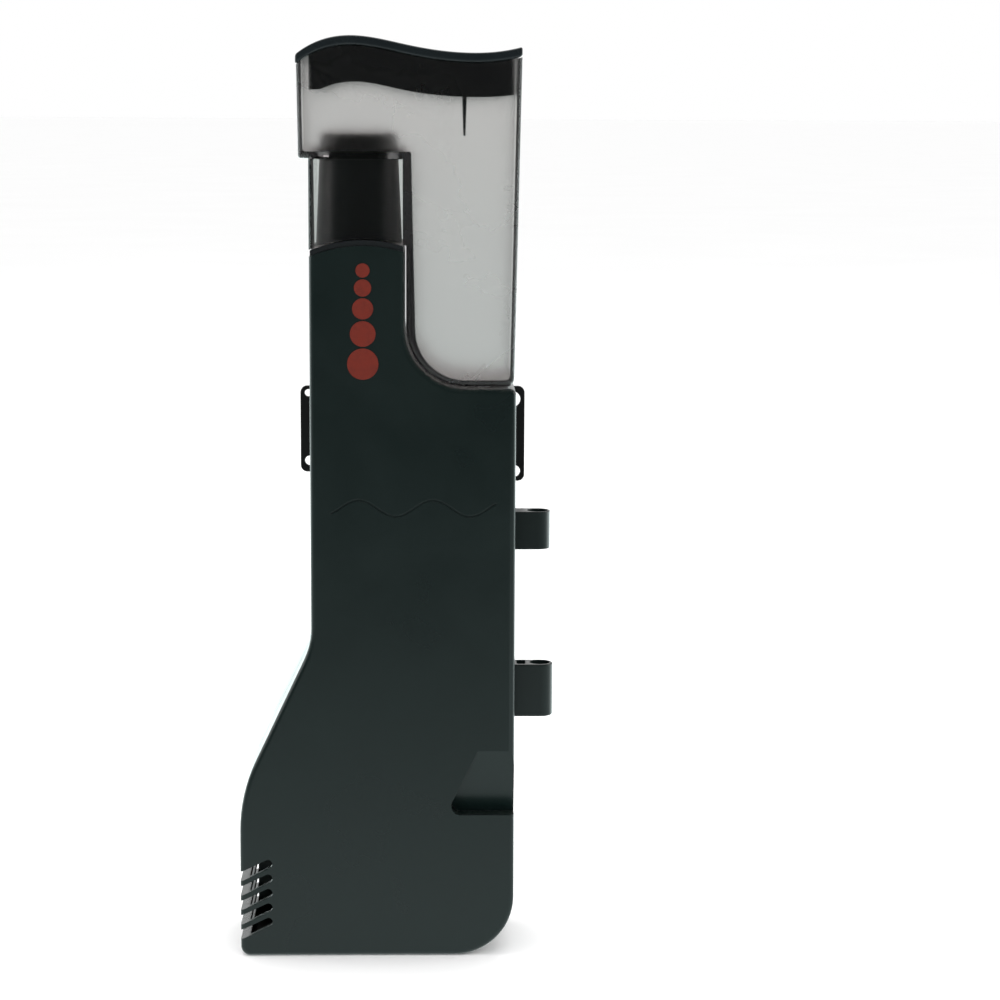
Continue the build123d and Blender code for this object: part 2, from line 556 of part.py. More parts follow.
# ---------------------------------------------------------------- foam cup
skirt_low = shifted(ARCH, SADDLE + CUP_GAP)
left_line = ((CUP_LEFT_LOW, CUP_FLOOR_LOW), (CUP_LEFT_TOP, WAVE[0][1]))
right_line = ((CUP_RIGHT_LOW, POCKET_LOW), (CUP_RIGHT_TOP, WAVE[-1][1]))
cup_over = WAVE[1][1] + OVER
with BuildSketch() as cup_outline:
    with BuildLine():
        FilletPolyline(
            (lean(*left_line, cup_over), cup_over),
            left_line[0],
            (SKIRT_LEFT, CUP_FLOOR_LOW),
            (SKIRT_LEFT, skirt_low[0][1]),
            radius=[1.0, 0.4],
        )
        FilletPolyline(
            (POCKET_LEFT, skirt_low[2][1]),
            (POCKET_LEFT, POCKET_LOW),
            right_line[0],
            (lean(*right_line, cup_over), cup_over),
            radius=[POCKET_ROUND, 3.0],
        )
        ThreePointArc((SKIRT_LEFT, skirt_low[0][1]), skirt_low[1], (POCKET_LEFT, skirt_low[2][1]))
        Line((lean(*left_line, cup_over), cup_over), (lean(*right_line, cup_over), cup_over))
    make_face()

pocket_left_top = POCKET_LEFT + CUP_WALL
pocket_left_low = pocket_left_top + 1.9
with BuildSketch() as cup_hollow:
    with BuildLine():
        FilletPolyline(
            (lean(*left_line, cup_over) + CUP_WALL, cup_over),
            (lean(*left_line, CUP_FLOOR) + CUP_WALL, CUP_FLOOR),
            (pocket_left_top, CUP_FLOOR),
            (pocket_left_low, POCKET_FLOOR),
            (lean(*right_line, POCKET_FLOOR) - CUP_WALL, POCKET_FLOOR),
            (lean(*right_line, cup_over) - CUP_WALL, cup_over),
            radius=[1.0, 0.8, 18.0, 1.6],
        )
        Line(
            (lean(*right_line, cup_over) - CUP_WALL, cup_over),
            (lean(*left_line, cup_over) + CUP_WALL, cup_over),
        )
    make_face()

with BuildSketch() as rim_tool:
    with BuildLine():
        Spline(shifted(WAVE, -LID_PLATE - LID_GAP))
        Line(shifted(WAVE, -LID_PLATE - LID_GAP)[-1], (WAVE[-1][0] + 8, WAVE[-1][1] - LID_PLATE))
        Line((WAVE[-1][0] + 8, WAVE[-1][1] - LID_PLATE), (WAVE[-1][0] + 8, cup_over + OVER))
        Line((WAVE[-1][0] + 8, cup_over + OVER), (WAVE[0][0] - 8, cup_over + OVER))
        Line((WAVE[0][0] - 8, cup_over + OVER), (WAVE[0][0] - 8, WAVE[0][1] - LID_PLATE))
        Line((WAVE[0][0] - 8, WAVE[0][1] - LID_PLATE), shifted(WAVE, -LID_PLATE - LID_GAP)[0])
    make_face()

with BuildPart() as foam_cup:
    with BuildSketch(Plane.XZ.offset(-REAR)):
        add(cup_outline.sketch)
    extrude(amount=REAR - FRONT)
    ends = [
        edge for edge in foam_cup.edges()
        if abs(abs(edge.center().Y) - REAR) < 0.01 and edge.center().Z < cup_over - 1
        and not (edge.center().Z > skirt_low[0][1] - 2 and edge.center().Z < skirt_low[1][1]
                 and edge.length > 20 and abs(edge.center().X - NECK_MID) < 5)
    ]
    fillet(ends, radius=CUP_EDGE)
    with BuildSketch(Plane.XZ.offset(-REAR + CUP_WALL)):
        add(cup_hollow.sketch)
    extrude(amount=REAR - FRONT - 2 * CUP_WALL, mode=Mode.SUBTRACT)
    with Locations((RISER_X, 0, CUP_FLOOR_LOW)):
        Box(2 * SKIRT_HALF, REAR - FRONT - 2 * CUP_WALL, 80,
            align=(Align.CENTER, Align.CENTER, Align.MAX), mode=Mode.SUBTRACT)
        Cylinder(SEAL_R, 20, mode=Mode.SUBTRACT)
    with BuildSketch(Plane.XZ.offset(-REAR - OVER)):
        add(rim_tool.sketch)
    extrude(amount=REAR - FRONT + 2 * OVER, mode=Mode.SUBTRACT)
export(foam_cup.part, "foam_cup")

riser_at_floor = lean((RISER_FOOT_R, RISER_FOOT), (RISER_TOP_R, RISER_TOP), CUP_FLOOR_LOW)
seal_in = riser_at_floor + SEAL_GAP
with BuildPart() as cup_seal:
    with BuildSketch(Plane.XZ):
        with BuildLine():
            Polyline(
                (seal_in, CUP_FLOOR_LOW - SEAL_LIP),
                (SEAL_R - FIT / 2, CUP_FLOOR_LOW - SEAL_LIP),
                (SEAL_R - FIT / 2, CUP_FLOOR + FIT / 2),
                (SEAL_FLANGE_R, CUP_FLOOR + FIT / 2),
                (SEAL_FLANGE_R, CUP_FLOOR + SEAL_FLANGE),
                (seal_in, CUP_FLOOR + SEAL_FLANGE),
                close=True,
            )
        make_face()
    revolve(axis=Axis.Z)
cup_seal.part.locate(Location((RISER_X, 0, 0)))
export(cup_seal.part, "cup_seal")

# ---------------------------------------------------------------- lid
with BuildSketch() as plate_outline:
    with BuildLine():
        Spline(WAVE)
        Line(WAVE[-1], shifted(WAVE, -LID_PLATE)[-1])
        Spline(shifted(WAVE, -LID_PLATE)[::-1])
        Line(shifted(WAVE, -LID_PLATE)[0], WAVE[0])
    make_face()
    fillet(plate_outline.vertices(), radius=1.1)

with BuildSketch() as plug_outline:
    with BuildLine():
        Line((PLUG_LEFT, WAVE[1][1]), (PLUG_LEFT, PLUG_WAVE[0][1]))
        Line((PLUG_LEFT, PLUG_WAVE[0][1]), PLUG_WAVE[0])
        Spline(PLUG_WAVE)
        Line(PLUG_WAVE[-1], (PLUG_RIGHT, WAVE[1][1]))
        Line((PLUG_RIGHT, WAVE[1][1]), (PLUG_LEFT, WAVE[1][1]))
    make_face()

with BuildSketch() as below_plate:
    with BuildLine():
        Spline(shifted(WAVE, -LID_PLATE / 2))
        Line(shifted(WAVE, -LID_PLATE / 2)[-1], (WAVE[-1][0], PLUG_WAVE[3][1] - OVER))
        Line((WAVE[-1][0], PLUG_WAVE[3][1] - OVER), (WAVE[0][0], PLUG_WAVE[3][1] - OVER))
        Line((WAVE[0][0], PLUG_WAVE[3][1] - OVER), shifted(WAVE, -LID_PLATE / 2)[0])
    make_face()

with BuildPart() as lid_plug:
    with BuildSketch(Plane.XZ.offset(-PLUG_DEPTH)):
        add(plug_outline.sketch)
    extrude(amount=2 * PLUG_DEPTH)
    fillet(lid_plug.edges().filter_by(Axis.Z), radius=PLUG_WALL)
    with BuildSketch(Plane.XZ.offset(-PLUG_DEPTH)):
        add(below_plate.sketch)
    extrude(amount=2 * PLUG_DEPTH, mode=Mode.INTERSECT)
    with BuildSketch(Plane.XY.offset(PLUG_WAVE[3][1] - OVER)):
        with Locations(((PLUG_LEFT + PLUG_RIGHT) / 2, 0)):
            RectangleRounded(PLUG_RIGHT - PLUG_LEFT - 2 * PLUG_WALL, 2 * (PLUG_DEPTH - PLUG_WALL), 1.0)
    extrude(amount=WAVE[3][1] - LID_PLATE - PLUG_WAVE[3][1] + OVER, mode=Mode.SUBTRACT)

with BuildPart() as cup_lid:
    with BuildSketch(Plane.XZ.offset(-LID_DEPTH)):
        add(plate_outline.sketch)
    extrude(amount=2 * LID_DEPTH)
    add(lid_plug.part)
    with BuildSketch(Plane.XY.offset(PIN_TIP)):
        with Locations((PIN_X, PLUG_WALL / 2 - PLUG_DEPTH)):
            Circle(PIN_TIP_R)
    with BuildSketch(Plane.XY.offset(PLUG_WAVE[3][1] + OVER)):
        with Locations((PIN_X, PLUG_WALL / 2 - PLUG_DEPTH)):
            Circle(PIN_R)
    loft()
export(cup_lid.part, "cup_lid")

# ---------------------------------------------------------------- holder with suction cups
for side, name in ((-1, "left_rail"), (1, "right_rail")):
    with BuildPart() as rail:
        with BuildSketch(Plane.XY.offset(RAIL_LOW)):
            with BuildLine():
                Polyline(
                    (side * RAIL_IN, REAR),
                    (side * RAIL_OUT, REAR),
                    (side * RAIL_OUT, REAR + LIP_OUTER),
                    (side * RAIL_LIP, REAR + LIP_OUTER),
                    (side * RAIL_LIP, REAR + LIP_INNER),
                    (side * RAIL_IN, REAR + LIP_INNER),
                    close=True,
                )
            make_face()
        extrude(amount=RAIL_HIGH - RAIL_LOW)
    export(rail.part, name)

with BuildPart() as holder_plate:
    with BuildSketch(Plane.XZ.offset(-PLATE_Y - PLATE_THICK)):
        with BuildLine():
            FilletPolyline(
                (PLATE_LEFT, PLATE_HIGH),
                (PLATE_LEFT, PLATE_LOW_LEFT),
                (PLATE_RIGHT, PLATE_LOW_RIGHT),
                (PLATE_RIGHT, PLATE_HIGH),
                radius=PLATE_CORNER,
                close=True,
            )
        make_face()
        for side, middle, high in WINDOWS:
            outer = PLATE_RIGHT if side > 0 else -PLATE_LEFT
            with Locations((side * (outer - END_BAR - WINDOW_LONG / 2), middle)):
                SlotOverall(WINDOW_LONG, high, mode=Mode.SUBTRACT)
        with Locations((-SUCTION_X, SUCTION_Z), (SUCTION_X, SUCTION_Z)):
            Circle(STEM_R + 0.1, mode=Mode.SUBTRACT)
    extrude(amount=PLATE_THICK)
    with BuildSketch(Plane.XY.offset(TONGUE_LOW)):
        with Locations((0, PLATE_Y + OVER / 4)):
            Rectangle(
                2 * (RAIL_LIP - SLIDE_GAP), PLATE_Y + OVER / 4 - TONGUE_BACK,
                align=(Align.CENTER, Align.MAX),
            )
        with Locations((0, TONGUE_FRONT)):
            Rectangle(
                2 * (RAIL_IN - SLIDE_GAP), TONGUE_BACK - TONGUE_FRONT,
                align=(Align.CENTER, Align.MIN),
            )
    extrude(amount=TONGUE_HIGH - TONGUE_LOW)
export(holder_plate.part, "holder_plate")

for side, name in ((-1, "left_suction_cup"), (1, "right_suction_cup")):
    with BuildPart() as suction_cup:
        with BuildSketch(Plane.XY):
            with BuildLine():
                Polyline(*SUCTION_BUTTON, *shifted(SUCTION_NECK, PLATE_THICK))
                Spline(shifted(SUCTION_BACK, PLATE_THICK))
                Polyline(shifted(SUCTION_BACK, PLATE_THICK)[-1], shifted(SUCTION_FACE, PLATE_THICK)[0])
                Spline(shifted(SUCTION_FACE, PLATE_THICK))
                Line(shifted(SUCTION_FACE, PLATE_THICK)[-1], SUCTION_BUTTON[0])
            make_face()
        revolve(axis=Axis.Y)
    suction_cup.part.locate(Location((side * SUCTION_X, PLATE_Y, SUCTION_Z)))
    export(suction_cup.part, name)

# ---------------------------------------------------------------- front mark
with BuildPart() as front_mark:
    radii = [MARK_R * MARK_SHRINK ** i for i in range(MARK_DISCS)]
    gap = (MARK_HIGH - MARK_LOW - 2 * sum(radii)) / (MARK_DISCS - 1)
    with BuildSketch(Plane.XZ.offset(-FRONT)):
        for i, r in enumerate(radii):
            with Locations((MARK_X, MARK_LOW + 2 * sum(radii[:i]) + i * gap + r)):
                Circle(r)
    extrude(amount=MARK_THICK)
export(front_mark.part, "front_mark")
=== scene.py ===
"""The looks of an aquarium protein skimmer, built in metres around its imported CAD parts."""

import logging
import math
from dataclasses import dataclass, field
from enum import Enum
from typing import Iterable, Sequence

import bmesh
import bpy
from mathutils import Matrix, Vector


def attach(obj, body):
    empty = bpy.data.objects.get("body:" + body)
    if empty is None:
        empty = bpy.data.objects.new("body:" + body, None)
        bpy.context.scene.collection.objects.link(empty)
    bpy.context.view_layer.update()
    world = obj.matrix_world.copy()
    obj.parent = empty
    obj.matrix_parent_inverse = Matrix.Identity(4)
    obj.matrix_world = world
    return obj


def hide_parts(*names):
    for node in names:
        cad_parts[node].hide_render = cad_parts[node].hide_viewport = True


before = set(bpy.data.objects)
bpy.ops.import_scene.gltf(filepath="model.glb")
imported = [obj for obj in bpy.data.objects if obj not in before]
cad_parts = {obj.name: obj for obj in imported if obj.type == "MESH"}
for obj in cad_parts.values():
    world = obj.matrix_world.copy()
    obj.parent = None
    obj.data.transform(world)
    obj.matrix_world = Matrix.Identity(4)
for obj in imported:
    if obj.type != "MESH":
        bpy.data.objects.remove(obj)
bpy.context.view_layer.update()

MM = 0.001
log = logging.getLogger("skimmer")

Point = tuple[float, float]
Colour = tuple[float, float, float]
Socket = bpy.types.NodeSocket
Piece = bpy.types.Object
Links = dict[str | int, object]

MID_TONES = (0.3, 0.7)  # where most of a noise's values lie
WHITE = (1.0, 1.0, 1.0, 1.0)
UP = Vector((0, 0, 1))
WELD, TOUCH = 2e-6, 1e-7  # gaps in metres that close in a CAD mesh and in a turned one
FLAT = math.radians(0.3)  # bend up to which two CAD triangles are one face
STOUT = 24.0  # perimeter squared over area, up to which a face counts whole
END_POINTS, SWEEPS, FINE_SPANS = 4, 80, 60  # of the curve through a few points


class Body(Enum):
    """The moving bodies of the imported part."""

    HOUSING = "housing"
    CUP = "cup"
    LID = "lid"
    HOLDER = "holder"


class Slot(Enum):
    """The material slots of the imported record."""

    HOUSING = "housing"
    GUIDE = "guide"
    LID = "lid"
    RISER = "riser"
    INNER = "inner_plastic"
    HOLDER = "holder"
    PIPE = "pipe"
    CUP = "cup"
    SEAL = "seal"
    RUBBER = "suction_rubber"
    WOOD = "limewood"
    SCREWS = "screws"
    MARK = "mark"


# ---------------------------------------------------------------- shader groups
class Tree:
    """A node tree under construction."""

    tree: bpy.types.NodeTree

    def add(self, kind: str, links: Links | None = None, **settings: object) -> bpy.types.Node:
        """Adds a node; see place() for the arguments."""
        return place(self.tree, kind, links, **settings)

    def math(self, operation: str, *values: Socket | float) -> Socket:
        """The result of one arithmetic step."""
        return self.add("ShaderNodeMath", dict(enumerate(values)), operation=operation).outputs[0]

    def range(self, value: Socket, low: float, high: float, start: float = 0.0, end: float = 1.0) -> Socket:
        """Maps a value from start..end to low..high."""
        return self.add("ShaderNodeMapRange", {"Value": value, "From Min": start, "From Max": end,
                                               "To Min": low, "To Max": high}).outputs[0]


class ShaderGroup(Tree):
    """A shader node group with named inputs and outputs, built once and placed in many materials."""

    def __init__(self, name: str, inputs: dict[str, str], outputs: dict[str, str]) -> None:
        """Makes an empty group.

        Args:
            name: The group's name.
            inputs: Socket type of each named input.
            outputs: Socket type of each named output.
        """
        self.tree = bpy.data.node_groups.new(name, "ShaderNodeTree")
        for label, kind in inputs.items():
            self.tree.interface.new_socket(label, in_out="INPUT", socket_type=kind)
        for label, kind in outputs.items():
            self.tree.interface.new_socket(label, in_out="OUTPUT", socket_type=kind)
        self.source = self.tree.nodes.new("NodeGroupInput")
        self.sink = self.tree.nodes.new("NodeGroupOutput")

    def take(self, label: str) -> Socket:
        """The socket that gives the named input."""
        return self.source.outputs[label]

    def give(self, label: str, value: Socket) -> None:
        """Sends a socket's value out of the group under the given name."""
        self.tree.links.new(value, self.sink.inputs[label])


def place(tree: bpy.types.NodeTree, kind: str, links: Links | None = None,
          **settings: object) -> bpy.types.Node:
    """Adds a node to a tree.

    Args:
        tree: The tree that gets the node.
        kind: Blender's name for the node type.
        links: Value or source socket for each input, by name or number.
        settings: Properties of the node itself.

    Returns:
        The new node.
    """
    node = tree.nodes.new(kind)
    for label, value in settings.items():
        setattr(node, label, value)
    for label, value in (links or {}).items():
        if isinstance(value, Socket):
            tree.links.new(value, node.inputs[label])
        else:
            node.inputs[label].default_value = value
    return node


FLOAT, VECTOR = "NodeSocketFloat", "NodeSocketVector"


def grain_group() -> ShaderGroup:
    """Fine spark-eroded grain of a moulding, with a slow change of tone over it.

    Returns:
        The group, with outputs Height and Tone.
    """
    group = ShaderGroup("moulded_grain", {"Vector": VECTOR, "Scale": FLOAT, "Depth": FLOAT},
                        {"Height": FLOAT, "Tone": FLOAT})
    fine = group.add("ShaderNodeTexNoise", {"Vector": group.take("Vector"), "Scale": group.take("Scale"),
                                            "Detail": 3.0, "Roughness": 0.6})
    cells = group.add("ShaderNodeTexVoronoi", {"Vector": group.take("Vector"), "Scale": group.take("Scale")},
                      feature="SMOOTH_F1")
    both = group.math("ADD", fine.outputs[0], cells.outputs["Distance"])
    slow = group.add("ShaderNodeTexNoise", {"Vector": group.take("Vector"), "Scale": 22.0, "Detail": 4.0,
                                            "Roughness": 0.55, "Distortion": 0.4})
    group.give("Height", group.math("MULTIPLY", both, group.take("Depth")))
    group.give("Tone", slow.outputs[0])
    return group


def wear_and_highlight_group() -> ShaderGroup:
    """Rounded, slightly polished edges, lighter in colour along them: part wear, part painted edge highlight.

    Returns:
        The group, with outputs Mask, 1 along an edge, and Normal, which turns smoothly over it.
    """
    group = ShaderGroup("edge_wear_and_highlight", {"Vector": VECTOR, "Radius": FLOAT, "Amount": FLOAT},
                        {"Mask": FLOAT, "Normal": VECTOR})
    turned = group.add("ShaderNodeBevel", {"Radius": group.take("Radius")}, samples=4)
    shape = group.add("ShaderNodeNewGeometry")
    along = group.add("ShaderNodeVectorMath", {0: turned.outputs[0], 1: shape.outputs["Normal"]},
                      operation="DOT_PRODUCT")
    edge = group.range(along.outputs["Value"], 0.0, 1.0, 0.995, 0.86)
    patches = group.add("ShaderNodeTexNoise", {"Vector": group.take("Vector"), "Scale": 260.0, "Detail": 3.0})
    mask = group.math("MULTIPLY", edge, group.range(patches.outputs[0], 0.0, 1.0, 0.38, 0.62))
    scaled = group.add("ShaderNodeMath", {0: mask, 1: group.take("Amount")}, operation="MULTIPLY",
                       use_clamp=True)
    group.give("Mask", scaled.outputs[0])
    group.give("Normal", turned.outputs[0])
    return group


def dust_group() -> ShaderGroup:
    """Thin dust that settles on faces that look up.

    Returns:
        The group, with the output Mask.
    """
    group = ShaderGroup("settled_dust", {"Vector": VECTOR, "Amount": FLOAT}, {"Mask": FLOAT})
    shape = group.add("ShaderNodeNewGeometry")
    parts = group.add("ShaderNodeSeparateXYZ", {0: shape.outputs["Normal"]})
    up = group.range(parts.outputs["Z"], 0.0, 1.0, 0.3, 0.95)
    specks = group.add("ShaderNodeTexNoise", {"Vector": group.take("Vector"), "Scale": 900.0, "Detail": 5.0,
                                              "Roughness": 0.7})
    lying = group.math("MULTIPLY", up, group.range(specks.outputs[0], 0.0, 1.0, 0.45, 0.7))
    scaled = group.add("ShaderNodeMath", {0: lying, 1: group.take("Amount")}, operation="MULTIPLY",
                       use_clamp=True)
    group.give("Mask", scaled.outputs[0])
    return group


def band_group() -> ShaderGroup:
    """A mask that rises from 0 to 1 over a band of heights.

    Returns:
        The group, with the output Mask.
    """
    group = ShaderGroup("height_band", {"Vector": VECTOR, "Low": FLOAT, "High": FLOAT}, {"Mask": FLOAT})
    parts = group.add("ShaderNodeSeparateXYZ", {0: group.take("Vector")})
    band = group.add("ShaderNodeMapRange", {"Value": parts.outputs["Z"], "From Min": group.take("Low"),
                                            "From Max": group.take("High")}, interpolation_type="SMOOTHSTEP")
    group.give("Mask", band.outputs[0])
    return group


GRAIN, WEAR_AND_HIGHLIGHT, DUST, BAND = grain_group(), wear_and_highlight_group(), dust_group(), band_group()


class Surface(Tree):
    """A material under construction: a Principled shader and the nodes that feed it."""

    def __init__(self, name: str) -> None:
        """Makes a material with a Principled shader and Object coordinates."""
        self.material = bpy.data.materials.new(name)
        self.material.use_nodes = True
        self.tree = self.material.node_tree
        self.shader = self.tree.nodes["Principled BSDF"]
        self.spot = self.add("ShaderNodeTexCoord").outputs["Object"]

    def use(self, group: ShaderGroup, **values: object) -> bpy.types.Node:
        """Places a shader group, fed with Object coordinates.

        Args:
            group: The group to place.
            values: Value or source socket for each of its inputs.

        Returns:
            The group node.
        """
        return self.add("ShaderNodeGroup", {"Vector": self.spot, **values}, node_tree=group.tree)

    def blend(self, mask: Socket | float, first: Socket | Colour, second: Socket | Colour) -> Socket:
        """Mixes two colours.

        Args:
            mask: How much of the second colour shows.
            first: Colour where the mask is 0.
            second: Colour where the mask is 1.

        Returns:
            The mixed colour.
        """
        start, end = (side if isinstance(side, Socket) else (*side, 1.0) for side in (first, second))
        return self.add("ShaderNodeMix", {0: mask, 6: start, 7: end}, data_type="RGBA").outputs[2]

    def bump(self, height: Socket, strength: float, distance: float, **under: Socket) -> Socket:
        """The normal that a height gives, laid over another Normal if there is one."""
        links = {"Height": height, "Strength": strength, "Distance": distance, **under}
        return self.add("ShaderNodeBump", links).outputs[0]

    def feed(self, **sockets: Socket) -> None:
        """Links sockets to the shader's inputs, named with _ for a space."""
        for label, socket in sockets.items():
            self.tree.links.new(socket, self.shader.inputs[label.replace("_", " ")])

    def set(self, **values: float | tuple[float, ...]) -> None:
        """Sets plain numbers and colours on the shader's inputs, named with _ for a space."""
        for label, value in values.items():
            self.shader.inputs[label.replace("_", " ")].default_value = value


# ---------------------------------------------------------------- finishes
@dataclass(frozen=True)
class Moulding:
    """An injection-moulded opaque plastic."""

    name: str
    colour: Colour
    roughness: float = 0.42
    specular: float = 0.4
    grain: float = 2600.0
    depth: float = 0.16
    tone: float = 0.16
    # Edge lightening: wear plus a painted edge highlight.
    wear_and_highlight: float = 0.35
    edge: float = 0.35 * MM
    dust: float = 0.10
    coat: float = 0.0
    dust_colour: Colour = (0.34, 0.33, 0.30)

    def material(self) -> bpy.types.Material:
        """Builds the finish.

        Returns:
            The material.
        """
        made = Surface(self.name)
        grain = made.use(GRAIN, Scale=self.grain, Depth=self.depth)
        wear_and_highlight = made.use(WEAR_AND_HIGHLIGHT, Radius=self.edge, Amount=self.wear_and_highlight)
        dust = made.use(DUST, Amount=self.dust)
        light = tuple(min(1.0, c * (1 + self.tone)) for c in self.colour)
        dark = tuple(c * (1 - self.tone) for c in self.colour)
        # Edge colour: lighter for wear and as a painted highlight.
        worn_and_highlit = tuple(min(1.0, c * 1.7 + 0.012) for c in self.colour)
        tone = made.range(grain.outputs["Tone"], 0.0, 1.0, 0.32, 0.68)
        base = made.blend(tone, dark, light)
        base = made.blend(wear_and_highlight.outputs["Mask"], base, worn_and_highlit)
        base = made.blend(dust.outputs["Mask"], base, self.dust_colour)
        rough = made.range(grain.outputs["Tone"], self.roughness - 0.05, self.roughness + 0.05, *MID_TONES)
        bump = made.bump(grain.outputs["Height"], 0.30, 0.05 * MM, Normal=wear_and_highlight.outputs["Normal"])
        made.feed(Base_Color=base, Roughness=rough, Normal=bump)
        made.set(Specular_IOR_Level=self.specular, Coat_Weight=self.coat, Coat_Roughness=0.2)
        return made.material


@dataclass(frozen=True)
class ClearPlastic:
    """Clear styrene, satin outside on the chamber and glossy below a given height on the skirt."""

    name: str
    colour: Colour
    clear_rough: float
    satin_rough: float
    low: float
    high: float
    smoke: Colour = (0.30, 0.29, 0.30)
    density: float = 100.0
    index: float = 1.49

    def material(self) -> bpy.types.Material:
        """Builds the finish.

        Returns:
            The material.
        """
        made = Surface(self.name)
        grain = made.use(GRAIN, Scale=5200.0, Depth=0.3)
        band = made.use(BAND, Low=self.low, High=self.high)
        place_x = made.add("ShaderNodeSeparateXYZ", {0: made.spot}).outputs["X"]
        pocket = made.range(place_x, 0.0, 1.0, -3.2 * MM, -2.6 * MM)
        satin = made.math("MAXIMUM", band.outputs[0], pocket)
        rough = made.range(satin, self.clear_rough, self.satin_rough)
        varied = made.range(grain.outputs["Tone"], 0.92, 1.08, *MID_TONES)
        rough = made.math("MULTIPLY", rough, varied)
        tint = made.blend(made.range(grain.outputs["Tone"], 0.0, 1.0, *MID_TONES), self.colour,
                          tuple(c * 0.985 for c in self.colour))
        bump = made.bump(grain.outputs["Height"], 0.012, 0.03 * MM)
        made.feed(Base_Color=tint, Roughness=rough, Normal=bump)
        made.set(Transmission_Weight=1.0, IOR=self.index)
        smoke = made.add("ShaderNodeVolumeAbsorption", {"Color": (*self.smoke, 1.0), "Density": self.density})
        made.tree.links.new(smoke.outputs[0], made.tree.nodes["Material Output"].inputs["Volume"])
        return made.material


@dataclass(frozen=True)
class Rubber:
    """Soft, slightly translucent rubber or vinyl."""

    name: str
    colour: Colour
    roughness: float
    passing: float = 0.0

    def material(self) -> bpy.types.Material:
        """Builds the finish.

        Returns:
            The material.
        """
        made = Surface(self.name)
        grain = made.use(GRAIN, Scale=900.0, Depth=0.4)
        dust = made.use(DUST, Amount=0.12)
        base = made.blend(made.range(grain.outputs["Tone"], 0.0, 1.0, *MID_TONES), self.colour,
                          tuple(c * 0.82 for c in self.colour))
        base = made.blend(dust.outputs["Mask"], base, (0.4, 0.39, 0.37))
        rough = made.range(grain.outputs["Tone"], self.roughness - 0.07, self.roughness + 0.07, *MID_TONES)
        bump = made.bump(grain.outputs["Height"], 0.2, 0.05 * MM)
        made.feed(Base_Color=base, Roughness=rough, Normal=bump)
        made.set(Transmission_Weight=self.passing, IOR=1.45)
        return made.material


@dataclass(frozen=True)
class Limewood:
    """Pale close-grained wood, sawn and lightly sanded, with its fibres upright."""

    name: str = "limewood_block"
    pale: Colour = (0.72, 0.55, 0.33)
    deep: Colour = (0.50, 0.33, 0.17)

    def material(self) -> bpy.types.Material:
        """Builds the finish.

        Returns:
            The material.
        """
        made = Surface(self.name)
        drawn = made.add("ShaderNodeMapping", {"Vector": made.spot, "Scale": (1.0, 1.0, 0.08)}).outputs[0]
        rings = made.add("ShaderNodeTexWave",
                         {"Vector": drawn, "Scale": 95.0, "Distortion": 5.0, "Detail": 3.0,
                          "Detail Scale": 1.6},
                         wave_type="BANDS", bands_direction="DIAGONAL")
        fibres = made.add("ShaderNodeTexNoise", {"Vector": drawn, "Scale": 2400.0, "Detail": 4.0})
        pores = made.add("ShaderNodeTexVoronoi", {"Vector": drawn, "Scale": 1500.0})
        holes = made.range(pores.outputs["Distance"], 1.0, 0.0, 0.02, 0.16)
        base = made.blend(made.range(rings.outputs[1], 0.0, 0.75, 0.2, 0.95), self.pale, self.deep)
        base = made.blend(made.range(fibres.outputs[0], 0.0, 0.35, 0.35, 0.75), base, self.deep)
        base = made.blend(holes, base, (0.20, 0.12, 0.06))
        bump = made.bump(made.math("SUBTRACT", fibres.outputs[0], holes), 0.45, 0.12 * MM)
        rough = made.range(fibres.outputs[0], 0.58, 0.8, *MID_TONES)
        made.feed(Base_Color=base, Roughness=rough, Normal=bump)
        made.set(Specular_IOR_Level=0.3)
        return made.material


@dataclass(frozen=True)
class Steel:
    """Turned stainless steel."""

    name: str = "stainless_screw"
    colour: Colour = (0.56, 0.57, 0.58)

    def material(self) -> bpy.types.Material:
        """Builds the finish.

        Returns:
            The material.
        """
        made = Surface(self.name)
        drawn = made.add("ShaderNodeMapping", {"Vector": made.spot, "Scale": (1.0, 0.15, 1.0)}).outputs[0]
        lines = made.add("ShaderNodeTexNoise", {"Vector": drawn, "Scale": 5200.0, "Detail": 3.0})
        wear_and_highlight = made.use(WEAR_AND_HIGHLIGHT, Radius=0.12 * MM, Amount=0.5)
        base = made.blend(made.range(lines.outputs[0], 0.0, 1.0, *MID_TONES), self.colour,
                          tuple(c * 0.8 for c in self.colour))
        # Lighter edge colour: wear plus a painted highlight.
        base = made.blend(wear_and_highlight.outputs["Mask"], base, (0.75, 0.75, 0.74))
        bump = made.bump(lines.outputs[0], 0.2, 0.02 * MM, Normal=wear_and_highlight.outputs["Normal"])
        rough = made.range(lines.outputs[0], 0.24, 0.42, *MID_TONES)
        made.feed(Base_Color=base, Roughness=rough, Normal=bump)
        made.set(Metallic=1.0)
        return made.material


@dataclass(frozen=True)
class Ink:
    """Printed ink, a little uneven where the pad pressed it on."""

    name: str = "printed_red"
    colour: Colour = (0.145, 0.012, 0.004)

    def material(self) -> bpy.types.Material:
        """Builds the finish.

        Returns:
            The material.
        """
        made = Surface(self.name)
        grain = made.use(GRAIN, Scale=2600.0, Depth=0.4)
        thin = made.add("ShaderNodeTexNoise", {"Vector": made.spot, "Scale": 420.0, "Detail": 5.0})
        base = made.blend(made.range(thin.outputs[0], 0.0, 0.5, 0.42, 0.75), self.colour,
                          tuple(c * 0.6 for c in self.colour))
        bump = made.bump(grain.outputs["Height"], 0.25, 0.04 * MM)
        rough = made.range(thin.outputs[0], 0.42, 0.6, *MID_TONES)
        made.feed(Base_Color=base, Roughness=rough, Normal=bump)
        made.set(Specular_IOR_Level=0.3)
        return made.material


